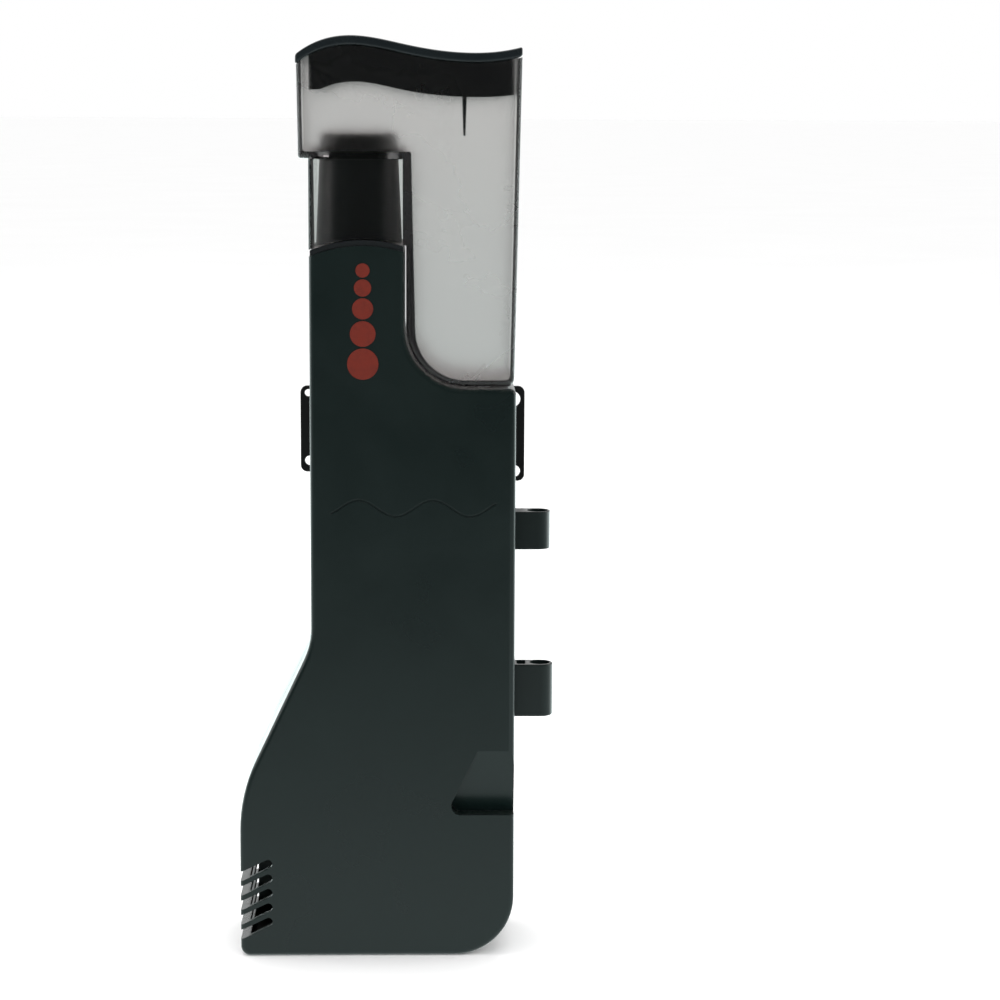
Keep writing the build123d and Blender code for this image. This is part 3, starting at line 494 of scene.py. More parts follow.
@dataclass(frozen=True)
class Vinyl:
    """Clear soft tubing with a faint warm cast."""

    name: str = "clear_vinyl"
    colour: Colour = (0.80, 0.82, 0.78)

    def material(self) -> bpy.types.Material:
        """Builds the finish.

        Returns:
            The material.
        """
        made = Surface(self.name)
        cloud = made.add("ShaderNodeTexNoise", {"Vector": made.spot, "Scale": 160.0, "Detail": 3.0})
        base = made.blend(made.range(cloud.outputs[0], 0.0, 1.0, 0.35, 0.65), self.colour,
                          tuple(c * 0.94 for c in self.colour))
        bump = made.bump(cloud.outputs[0], 0.1, 0.1 * MM)
        rough = made.range(cloud.outputs[0], 0.14, 0.26, *MID_TONES)
        made.feed(Base_Color=base, Roughness=rough, Normal=bump)
        made.set(Transmission_Weight=0.7, IOR=1.5)
        return made.material


# ---------------------------------------------------------------- geometry trees
class GeometryTree(Tree):
    """A Geometry Nodes tree with named inputs, which ends in Realize Instances and Set Material."""

    KINDS = {float: "NodeSocketFloat", int: "NodeSocketInt", tuple: "NodeSocketVector"}

    def __init__(self, name: str, sizes: dict[str, float | int | tuple[float, float, float]]) -> None:
        """Makes an empty tree.

        Args:
            name: The tree's name.
            sizes: Value of each named input.
        """
        self.sizes = sizes
        self.tree = bpy.data.node_groups.new(name, "GeometryNodeTree")
        face = self.tree.interface
        face.new_socket("Geometry", in_out="INPUT", socket_type="NodeSocketGeometry")
        for label, value in sizes.items():
            face.new_socket(label, in_out="INPUT", socket_type=self.KINDS[type(value)])
        face.new_socket("Finish", in_out="INPUT", socket_type="NodeSocketMaterial")
        face.new_socket("Geometry", in_out="OUTPUT", socket_type="NodeSocketGeometry")
        self.source = self.tree.nodes.new("NodeGroupInput")
        self.sink = self.tree.nodes.new("NodeGroupOutput")

    def take(self, label: str) -> Socket:
        """The socket that gives the named input."""
        return self.source.outputs[label]

    def vector(self, x: Socket | float = 0.0, y: Socket | float = 0.0, z: Socket | float = 0.0) -> Socket:
        """A vector put together from its parts."""
        return self.add("ShaderNodeCombineXYZ", {0: x, 1: y, 2: z}).outputs[0]

    def block(self, size: Socket, centre: Socket | None = None) -> Socket:
        """A box of the given size, moved to a centre."""
        cube = self.add("GeometryNodeMeshCube", {"Size": size}).outputs[0]
        return cube if centre is None else self.move(cube, centre)

    def move(self, shape: Socket, step: Socket | tuple[float, float, float]) -> Socket:
        """A shape moved by a vector."""
        return self.add("GeometryNodeTransform", {"Geometry": shape, "Translation": step}).outputs[0]

    def cylinder(self, around: int, radius: Socket, depth: Socket) -> Socket:
        """An upright cylinder about the origin, with some number of faces around."""
        return self.add("GeometryNodeMeshCylinder",
                        {"Vertices": around, "Radius": radius, "Depth": depth}).outputs[0]

    def spread(self, points: Socket, shape: Socket, **turned: object) -> Socket:
        """A shape repeated on every point, with a Rotation or a Scale if given."""
        return self.add("GeometryNodeInstanceOnPoints",
                        {"Points": points, "Instance": shape, **turned}).outputs[0]

    def real(self, shape: Socket) -> Socket:
        """Repeated shapes made into one mesh."""
        return self.add("GeometryNodeRealizeInstances", {0: shape}).outputs[0]

    def join(self, *parts: Socket) -> Socket:
        """Several geometries as one."""
        node = self.add("GeometryNodeJoinGeometry")
        for part in parts:
            self.tree.links.new(part, node.inputs[0])
        return node.outputs[0]

    def combine(self, operation: str, first: Socket | None, *others: Socket) -> Socket:
        """A boolean of meshes, UNION or DIFFERENCE."""
        node = self.add("GeometryNodeMeshBoolean", operation=operation, solver="EXACT")
        if first is not None:
            self.tree.links.new(first, node.inputs["Mesh 1"])
        for other in others:
            self.tree.links.new(other, node.inputs["Mesh 2"])
        return node.outputs[0]

    def close(self, shape: Socket) -> None:
        """Ends the tree: the shape is realised, dressed and sent out."""
        dressed = self.add("GeometryNodeSetMaterial",
                           {"Geometry": self.real(shape), "Material": self.take("Finish")})
        self.tree.links.new(dressed.outputs[0], self.sink.inputs[0])

    def grow(self, name: str, base: bpy.types.Mesh, finish: bpy.types.Material) -> Piece:
        """Runs the tree on a base mesh and keeps the result as a plain mesh.

        Args:
            name: Name of the new piece.
            base: Mesh that the tree starts from.
            finish: Material of the result.

        Returns:
            The new piece, with no modifier on it.
        """
        seed = bpy.data.objects.new(name + "_seed", base)
        bpy.context.scene.collection.objects.link(seed)
        step = seed.modifiers.new(name, "NODES")
        step.node_group = self.tree
        for item in self.tree.interface.items_tree:
            if item.in_out == "INPUT" and item.name in self.sizes:
                step[item.identifier] = self.sizes[item.name]
            elif item.in_out == "INPUT" and item.name == "Finish":
                step[item.identifier] = finish
        made = baked(seed)
        bpy.data.objects.remove(seed)
        return stand(name, made)


# ---------------------------------------------------------------- meshes
def baked(piece: Piece) -> bpy.types.Mesh:
    """The mesh of an object as its modifiers leave it."""
    graph = bpy.context.evaluated_depsgraph_get()
    return bpy.data.meshes.new_from_object(piece.evaluated_get(graph))


def stand(name: str, mesh: bpy.types.Mesh) -> Piece:
    """Puts a mesh in the scene as an object at the origin."""
    mesh.name = name
    piece = bpy.data.objects.new(name, mesh)
    bpy.context.scene.collection.objects.link(piece)
    return piece


def points_mesh(name: str, points: Iterable[Sequence[float]], chained: bool = False) -> bpy.types.Mesh:
    """A mesh of bare points, joined by edges in a row if chained."""
    places = [tuple(p) for p in points]
    mesh = bpy.data.meshes.new(name)
    mesh.from_pydata(places, [(i, i + 1) for i in range(len(places) - 1)] if chained else [], [])
    return mesh


def merged_copy(node: str) -> bpy.types.Mesh:
    """A copy of a CAD node's mesh with its loose triangles merged and its flat faces made whole.

    Args:
        node: Name of the CAD node.

    Returns:
        The new mesh.
    """
    shape = bmesh.new()
    shape.from_mesh(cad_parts[node].data)
    bmesh.ops.remove_doubles(shape, verts=shape.verts, dist=WELD)
    bmesh.ops.dissolve_limit(shape, angle_limit=FLAT, verts=shape.verts, edges=shape.edges)
    mesh = bpy.data.meshes.new(node + "_copy")
    shape.to_mesh(mesh)
    shape.free()
    for label in ("custom_normal", "sharp_edge", "sharp_face"):
        if label in mesh.attributes:
            mesh.attributes.remove(mesh.attributes[label])
    return mesh


def soften(piece: Piece, width: float, segments: int = 2, crease: float = 35.0) -> None:
    """Rounds a piece's sharp edges and smooths its shading, for good.

    Args:
        piece: The piece to soften.
        width: Width of the rounding, 0 for none.
        segments: Faces across the rounding.
        crease: Angle in degrees above which an edge is sharp.
    """
    if width:
        step = piece.modifiers.new("rounding", "BEVEL")
        step.width, step.segments, step.limit_method = width, segments, "ANGLE"
        step.angle_limit, step.use_clamp_overlap = math.radians(crease), True
        step.miter_outer = "MITER_ARC"
        piece.data = baked(piece)
        piece.modifiers.clear()
    piece.data.shade_smooth()
    piece.data.set_sharp_from_angle(angle=math.radians(crease))
    part_flats(piece.data)
    weigh = piece.modifiers.new("weighing", "WEIGHTED_NORMAL")
    weigh.keep_sharp = True
    made = baked(piece)
    piece.modifiers.clear()
    made.name = piece.name
    piece.data = made


def part_flats(mesh: bpy.types.Mesh, area: float = 6.0 * MM * MM, angle: float = 4.0) -> None:
    """Marks an edge between two broad flat faces as sharp, however little it bends.

    Args:
        mesh: The mesh to mark.
        area: Area from which a face counts as broad.
        angle: Least bend in degrees.
    """
    shape = bmesh.new()
    shape.from_mesh(mesh)
    for edge in shape.edges:
        if len(edge.link_faces) == 2 and edge.calc_face_angle(0.0) > math.radians(angle):
            if min(squat(face) for face in edge.link_faces) > area:
                edge.smooth = False
    shape.to_mesh(mesh)
    shape.free()


def squat(face: bmesh.types.BMFace) -> float:
    """A face's area, counted less the more it is a sliver."""
    around = face.calc_perimeter()
    return face.calc_area() * min(1.0, STOUT * face.calc_area() / (around * around))


def lathe(profile: Sequence[Point], centre: Vector, axis: Vector, turns: int = 72) -> bpy.types.Mesh:
    """A closed solid turned from a profile.

    Args:
        profile: (radius, distance along the axis) points; the last joins the first.
        centre: Where distance 0 lies.
        axis: Direction of the axis.
        turns: Number of faces around.

    Returns:
        The new mesh, with its normals outwards.
    """
    shape = bmesh.new()
    rows = []
    for step in range(turns):
        angle = 2 * math.pi * step / turns
        rows.append([shape.verts.new((r * math.cos(angle), r * math.sin(angle), z)) for r, z in profile])
    for step in range(turns):
        for i in range(len(profile)):
            j, nxt = (i + 1) % len(profile), (step + 1) % turns
            shape.faces.new((rows[step][i], rows[nxt][i], rows[nxt][j], rows[step][j]))
    bmesh.ops.remove_doubles(shape, verts=shape.verts, dist=TOUCH)
    bmesh.ops.dissolve_degenerate(shape, dist=TOUCH, edges=shape.edges)
    bmesh.ops.recalc_face_normals(shape, faces=shape.faces)
    turn = UP.rotation_difference(axis).to_matrix().to_4x4()
    shape.transform(Matrix.Translation(centre) @ turn)
    mesh = bpy.data.meshes.new("turned")
    shape.to_mesh(mesh)
    shape.free()
    return mesh


def metres(points: Iterable[Point]) -> list[Point]:
    """Points given in millimetres, in metres."""
    return [(a * MM, b * MM) for a, b in points]


def end_slope(marks: Sequence[float], values: Sequence[float]) -> float:
    """The slope, at the first mark, of the polynomial that passes through some values.

    Args:
        marks: Where the values lie.
        values: One value for each mark.

    Returns:
        The slope.
    """
    rest = range(1, len(marks))
    slope = values[0] * sum(1 / (marks[0] - marks[k]) for k in rest)
    for i in rest:
        others = [k for k in rest if k != i]
        reach = math.prod(marks[0] - marks[k] for k in others)
        spread = math.prod(marks[i] - marks[k] for k in others) * (marks[i] - marks[0])
        slope += values[i] * reach / spread
    return slope


def slopes(marks: Sequence[float], values: Sequence[float]) -> list[float]:
    """The slopes of the smooth cubic through some values, the end ones taken from the outer points.

    Args:
        marks: Where the values lie, in rising order.
        values: One value for each mark.

    Returns:
        One slope for each mark.
    """
    last = len(marks) - 1
    steps = [marks[i + 1] - marks[i] for i in range(last)]
    rises = [(values[i + 1] - values[i]) / steps[i] for i in range(last)]
    found = [0.0] * (last + 1)
    found[0] = end_slope(marks[:END_POINTS], values[:END_POINTS])
    found[last] = end_slope(marks[::-1][:END_POINTS], values[::-1][:END_POINTS])
    for _ in range(SWEEPS):
        for i in range(1, last):
            pull = 3 * (steps[i] * rises[i - 1] + steps[i - 1] * rises[i])
            pull -= steps[i] * found[i - 1] + steps[i - 1] * found[i + 1]
            found[i] = pull / (2 * (steps[i] + steps[i - 1]))
    return found


def spline(points: Sequence[Point], count: int) -> list[Point]:
    """Samples of the smooth curve that passes through some points, the same curve as the CAD's.

    Args:
        points: (x, z) points in order of x.
        count: Number of spans to sample.

    Returns:
        count + 1 points, evenly spaced in x.
    """
    marks = [0.0]
    for here, there in zip(points, points[1:]):
        marks.append(marks[-1] + math.dist(here, there))
    bends = [slopes(marks, [point[k] for point in points]) for k in (0, 1)]
    dense = []
    for i in range(len(points) - 1):
        span = marks[i + 1] - marks[i]
        for step in range(FINE_SPANS):
            u = step / FINE_SPANS
            weights = ((1 + 2 * u) * (1 - u) ** 2, u * (1 - u) ** 2 * span, u * u * (3 - 2 * u),
                       u * u * (u - 1) * span)
            ends = [(points[i][k], bends[k][i], points[i + 1][k], bends[k][i + 1]) for k in (0, 1)]
            dense.append(tuple(sum(w * e for w, e in zip(weights, end)) for end in ends))
    dense.append(points[-1])
    start, width = points[0][0], points[-1][0] - points[0][0]
    evenly = [start + width * k / count for k in range(count + 1)]
    return [(x, height(dense, x)) for x in evenly]


# ---------------------------------------------------------------- finishes of this object
SHELL = Moulding("shell_green_black", (0.0040, 0.0104, 0.0097), roughness=0.30)
GUIDE = Moulding("guide_green_black", (0.0052, 0.0106, 0.0100), roughness=0.30)
LID = Moulding("lid_green_black", (0.0080, 0.0122, 0.0142), roughness=0.28, grain=3000.0, wear_and_highlight=0.5, dust=0.06)
RISER = Moulding("riser_black", (0.0080, 0.0104, 0.0116), roughness=0.34, edge=0.5 * MM, wear_and_highlight=0.5)
INNER = Moulding("inner_dark", (0.012, 0.014, 0.014), roughness=0.5)
HOLDER = Moulding("holder_black", (0.0050, 0.0056, 0.0058), roughness=0.45, grain=2200.0, wear_and_highlight=0.4)
CUP = ClearPlastic("cup_styrene", (0.897, 0.872, 0.862), clear_rough=0.02, satin_rough=0.27,
                   low=291.9 * MM, high=294.6 * MM)
SEAL = Rubber("seal_rubber", (0.030, 0.031, 0.032), roughness=0.55)
RUBBER = Rubber("suction_vinyl", (0.42, 0.45, 0.44), roughness=0.3, passing=0.45)


@dataclass
class SubAssembly:
    """A group of pieces that belong together."""

    made: list[Piece] = field(default_factory=list, init=False)

    def keep(self, piece: Piece, body: Body, slot: Slot, *nodes: str) -> Piece:
        """Gives a finished piece its body and hides the CAD nodes that it stands for.

        Args:
            piece: The finished piece.
            body: Body that it moves with.
            slot: Material slot of the record; not used.
            nodes: CAD nodes that it replaces.

        Returns:
            The same piece.
        """
        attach(piece, body.value)
        if nodes:
            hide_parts(*nodes)
        self.made.append(piece)
        return piece

    def refine(self, node: str, name: str, body: Body, slot: Slot, finish: bpy.types.Material,
               width: float = 0.0) -> Piece:
        """Replaces a CAD node with a merged, smooth copy of it.

        Args:
            node: The CAD node.
            name: Name of the new piece.
            body: Body that it moves with.
            slot: Material slot of the record.
            finish: Its material.
            width: Rounding of its sharp edges.

        Returns:
            The new piece.
        """
        piece = stand(name, merged_copy(node))
        soften(piece, width)
        dress(piece, finish)
        return self.keep(piece, body, slot, node)

    def report(self) -> None:
        """Logs each piece and its number of faces."""
        for piece in self.made:
            log.info("%s: %s, %d faces", type(self).__name__, piece.name, len(piece.data.polygons))


def dress(piece: Piece, finish: bpy.types.Material) -> None:
    """Gives all of a piece one material."""
    piece.data.materials.clear()
    piece.data.materials.append(finish)


# ---------------------------------------------------------------- housing
@dataclass
class Housing(SubAssembly):
    """The two shells, what closes them and what is printed on them."""

    screws: tuple[Point, ...] = ((30.5, 203.0), (30.5, 128.0), (-31.2, 240.0), (-31.2, 134.0),
                                 (-16.0, 9.0), (12.0, 9.0))
    screw_sizes: dict[str, float] = field(default_factory=lambda: {
        "Shank Radius": 1.45 * MM, "Shank Length": 34.1 * MM, "Head Radius": 2.7 * MM,
        "Head Height": 2.0 * MM, "Crown": 0.35 * MM, "Drive Length": 3.2 * MM, "Drive Width": 0.8 * MM,
        "Drive Depth": 1.4 * MM})
    head_y: float = 24.6 * MM
    front_y: float = -25.0 * MM
    mark: dict[str, float | int] = field(default_factory=lambda: {
        "Count": 5, "Radius": 5.6 * MM, "Shrink": 0.82, "Low": 213.5 * MM, "High": 255.0 * MM,
        "Thickness": 0.2 * MM})
    mark_x: float = -17.9 * MM

    def shells(self) -> None:
        """Refines the front and the rear shell."""
        finish = SHELL.material()
        self.refine("front_shell", "front_shell_moulding", Body.HOUSING, Slot.HOUSING, finish)
        self.refine("rear_shell", "rear_shell_moulding", Body.HOUSING, Slot.HOUSING, finish)

    def screw_tree(self) -> GeometryTree:
        """Builds the tree that sets a cross-head screw at each point.

        Returns:
            The tree.
        """
        tree = GeometryTree("screws_in_rows", self.screw_sizes)
        radius, high, crown = (tree.take(label) for label in ("Head Radius", "Head Height", "Crown"))
        long, wide = tree.take("Drive Length"), tree.take("Drive Width")
        under = tree.math("MULTIPLY", high, -0.5)
        head = tree.move(tree.cylinder(40, radius, high), tree.vector(z=tree.math("SUBTRACT", under, crown)))
        dome = tree.add("GeometryNodeMeshCone", {"Vertices": 40, "Depth": crown, "Radius Bottom": radius,
                                                 "Radius Top": tree.math("MULTIPLY", radius, 0.86)})
        topped = tree.move(dome.outputs[0], tree.vector(z=tree.math("MULTIPLY", crown, -1.0)))
        shank = tree.cylinder(28, tree.take("Shank Radius"), tree.take("Shank Length"))
        reach = tree.math("MULTIPLY", tree.take("Shank Length"), -0.5)
        hung = tree.move(shank, tree.vector(z=tree.math("SUBTRACT", reach, high)))
        whole = tree.combine("UNION", None, head, topped, hung)
        deep = tree.math("MULTIPLY", tree.take("Drive Depth"), 2.0)
        cross = [tree.block(tree.vector(*sides, deep)) for sides in ((long, wide), (wide, long))]
        cut = tree.combine("DIFFERENCE", whole, *cross)
        turned = (-math.pi / 2, math.pi / 4, 0.0)
        tree.close(tree.spread(tree.source.outputs["Geometry"], cut, Rotation=turned))
        return tree

    def fasteners(self) -> None:
        """Sets the screws in the rear shell's sockets."""
        places = points_mesh("screw_places", [(x * MM, self.head_y, z * MM) for x, z in self.screws])
        piece = self.screw_tree().grow("shell_screw_set", places, Steel().material())
        soften(piece, 0.0)
        self.keep(piece, Body.HOUSING, Slot.SCREWS, "shell_screws")

    def mark_tree(self) -> GeometryTree:
        """Builds the tree that stacks discs, each smaller than the one below it.

        Returns:
            The tree.
        """
        tree = GeometryTree("stacked_discs", self.mark)
        count, radius, shrink = tree.take("Count"), tree.take("Radius"), tree.take("Shrink")
        index = tree.add("GeometryNodeInputIndex").outputs[0]
        power = tree.math("POWER", shrink, index)
        rest = tree.math("SUBTRACT", 1.0, shrink)
        below = tree.math("DIVIDE", tree.math("SUBTRACT", 1.0, power), rest)
        total = tree.math("DIVIDE", tree.math("SUBTRACT", 1.0, tree.math("POWER", shrink, count)), rest)
        span = tree.math("SUBTRACT", tree.take("High"), tree.take("Low"))
        filled = tree.math("MULTIPLY", tree.math("MULTIPLY", radius, total), 2.0)
        spare = tree.math("SUBTRACT", span, filled)
        gap = tree.math("DIVIDE", spare, tree.math("SUBTRACT", count, 1.0))
        own = tree.math("MULTIPLY", radius, power)
        stacked = tree.math("ADD", tree.math("MULTIPLY", tree.math("MULTIPLY", radius, below), 2.0), own)
        stacked = tree.math("ADD", tree.take("Low"), stacked)
        height = tree.math("ADD", stacked, tree.math("MULTIPLY", index, gap))
        line = tree.add("GeometryNodeMeshLine", {"Count": count}).outputs[0]
        line_up = tree.add("GeometryNodeSetPosition", {"Geometry": line, "Position": tree.vector(z=height)})
        disc = tree.cylinder(64, radius, tree.take("Thickness"))
        rows = tree.spread(line_up.outputs[0], disc, Rotation=(math.pi / 2, 0.0, 0.0),
                           Scale=tree.vector(power, power, 1.0))
        half = tree.math("MULTIPLY", tree.take("Thickness"), -0.5)
        tree.close(tree.move(rows, tree.vector(self.mark_x, tree.math("ADD", half, self.front_y))))
        return tree

    def print_mark(self) -> None:
        """Prints the column of discs on the front."""
        piece = self.mark_tree().grow("disc_column", points_mesh("mark_seed", [(0, 0, 0)]), Ink().material())
        soften(piece, 0.0)
        self.keep(piece, Body.HOUSING, Slot.MARK, "front_mark")

    def build(self) -> None:
        """Builds and dresses the whole sub-assembly."""
        self.shells()
        self.fasteners()
        self.print_mark()


@dataclass
class HoseGuides(SubAssembly):
    """The two guides on the right side and the air line behind them."""

    nipple_low: float = 93.9 * MM
    nipple_centre: tuple[float, float] = (46.7 * MM, -8.0 * MM)
    nipple_profile: tuple[Point, ...] = ((1.1, 0.0), (3.66, 0.0), (3.72, 0.06), (3.72, 1.5), (3.62, 1.6),
                                         (2.1, 1.6), (2.0, 1.75), (2.0, 5.24), (1.96, 5.3), (1.6, 5.3),
                                         (1.6, 6.1), (1.96, 6.1), (2.0, 6.16), (1.6, 8.5), (1.96, 8.5),
                                         (2.0, 8.56), (1.64, 11.0), (1.54, 11.1), (1.15, 11.1), (1.1, 11.05))

    def build(self) -> None:
        """Builds and dresses the whole sub-assembly."""
        finish = GUIDE.material()
        self.refine("upper_hose_guide", "upper_guide_moulding", Body.HOUSING, Slot.GUIDE, finish)
        self.refine("lower_hose_guide", "lower_guide_moulding", Body.HOUSING, Slot.GUIDE, finish)
        foot = Vector((*self.nipple_centre, self.nipple_low))
        nipple = stand("inlet_nipple_turned", lathe(metres(self.nipple_profile), foot, UP))
        soften(nipple, 0.0)
        dress(nipple, finish)
        self.keep(nipple, Body.HOUSING, Slot.GUIDE, "air_inlet_nipple")
        self.refine("air_pipe", "air_pipe_tube", Body.HOUSING, Slot.PIPE, Vinyl().material())


@dataclass
class Inside(SubAssembly):
    """What the housing holds: wall, screen, grille, cradle and wooden diffuser."""

    grille: dict[str, float | int] = field(default_factory=lambda: {
        "Bars": 5, "Bar Thickness": 1.2 * MM, "Width": 29.9 * MM, "Height": 21.9 * MM, "Thickness": 1.9 * MM,
        "Frame": 1.95 * MM, "Pitch": 26.0 * MM / 6})
    grille_centre: tuple[float, float, float] = (36.0 * MM, 0.0, 38.0 * MM)
    screen: dict[str, float | int] = field(default_factory=lambda: {
        "Holes Across": 5, "Holes Along": 7, "Pitch": 5.4 * MM, "Hole Radius": 1.7 * MM,
        "Thickness": 1.6 * MM, "Width": 33.8 * MM, "Depth": 45.8 * MM, "Rim Height": 6.0 * MM,
        "Rim Thickness": 1.0 * MM})
    screen_centre: tuple[float, float, float] = (18.0 * MM, 0.0, 155.0 * MM)

    def grille_tree(self) -> GeometryTree:
        """Builds the tree of a framed grille with upright slats.

        Returns:
            The tree.
        """
        tree = GeometryTree("slatted_grille", self.grille)
        deep, wide, high = tree.take("Thickness"), tree.take("Width"), tree.take("Height")
        border = tree.math("MULTIPLY", tree.take("Frame"), 2.0)
        inner = tree.vector(tree.math("MULTIPLY", deep, 2.0), tree.math("SUBTRACT", wide, border),
                            tree.math("SUBTRACT", high, border))
        rim = tree.combine("DIFFERENCE", tree.block(tree.vector(deep, wide, high)), tree.block(inner))
        slat_high = tree.math("SUBTRACT", high, tree.take("Frame"))
        slat_deep = tree.math("MULTIPLY", deep, 0.84)
        slat = tree.block(tree.vector(slat_deep, tree.take("Bar Thickness"), slat_high))
        count = tree.take("Bars")
        reach = tree.math("MULTIPLY", tree.math("SUBTRACT", count, 1.0), tree.take("Pitch"))
        row = tree.add("GeometryNodeMeshLine", {
            "Count": count, "Start Location": tree.vector(y=tree.math("MULTIPLY", reach, -0.5)),
            "Offset": tree.vector(y=tree.take("Pitch"))})
        whole = tree.combine("UNION", None, rim, tree.real(tree.spread(row.outputs[0], slat)))
        tree.close(tree.move(whole, self.grille_centre))
        return tree

    def screen_tree(self) -> GeometryTree:
        """Builds the tree of a perforated plate with an upright rim on two sides.

        Returns:
            The tree.
        """
        tree = GeometryTree("perforated_screen", self.screen)
        wide, deep, thick = tree.take("Width"), tree.take("Depth"), tree.take("Thickness")
        plate = tree.block(tree.vector(wide, deep, thick), tree.vector(z=tree.math("MULTIPLY", thick, 0.5)))
        half_rim = tree.math("MULTIPLY", tree.take("Rim Thickness"), 0.5)
        side = tree.math("SUBTRACT", tree.math("MULTIPLY", wide, 0.5), half_rim)
        rim_up = tree.math("MULTIPLY", tree.take("Rim Height"), 0.5)
        rim_size = tree.vector(tree.take("Rim Thickness"), deep, tree.take("Rim Height"))
        right = tree.block(rim_size, tree.vector(side, 0.0, rim_up))
        left = tree.block(rim_size, tree.vector(tree.math("MULTIPLY", side, -1.0), 0.0, rim_up))
        pitch = tree.take("Pitch")
        across, along = tree.take("Holes Across"), tree.take("Holes Along")
        grid = tree.add("GeometryNodeMeshGrid", {
            "Size X": tree.math("MULTIPLY", tree.math("SUBTRACT", across, 1.0), pitch),
            "Size Y": tree.math("MULTIPLY", tree.math("SUBTRACT", along, 1.0), pitch),
            "Vertices X": across, "Vertices Y": along})
        punch = tree.cylinder(20, tree.take("Hole Radius"), tree.math("MULTIPLY", thick, 4.0))
        solid = tree.combine("UNION", None, plate, left, right)
        pierced = tree.combine("DIFFERENCE", solid, tree.real(tree.spread(grid.outputs[0], punch)))
        tree.close(tree.move(pierced, self.screen_centre))
        return tree

    def build(self) -> None:
        """Builds and dresses the whole sub-assembly."""
        shell, inner = GUIDE.material(), INNER.material()
        start = points_mesh("inside_seed", [(0, 0, 0)])
        grille = self.grille_tree().grow("slatted_outlet", start, shell)
        soften(grille, 0.15 * MM)
        self.keep(grille, Body.HOUSING, Slot.GUIDE, "outlet_grille")
        screen = self.screen_tree().grow("perforated_bubble_screen", start, inner)
        soften(screen, 0.0)
        self.keep(screen, Body.HOUSING, Slot.INNER, "bubble_screen")
        self.refine("partition", "partition_wall", Body.HOUSING, Slot.INNER, inner, 0.2 * MM)
        self.refine("diffuser_cradle", "diffuser_cradle_moulding", Body.HOUSING, Slot.INNER, inner, 0.2 * MM)
        self.refine("wood_diffuser", "limewood_diffuser", Body.HOUSING, Slot.WOOD, Limewood().material())


# ---------------------------------------------------------------- riser, cup and lid
@dataclass
class FoamPath(SubAssembly):
    """The riser tube and the cup that catches the foam."""

    def build(self) -> None:
        """Builds and dresses the whole sub-assembly."""
        self.refine("riser_tube", "riser_moulding", Body.HOUSING, Slot.RISER, RISER.material())
        self.refine("foam_cup", "clear_foam_cup", Body.CUP, Slot.CUP, CUP.material(), 0.3 * MM)
        self.refine("cup_seal", "cup_seal_ring", Body.CUP, Slot.SEAL, SEAL.material(), 0.3 * MM)


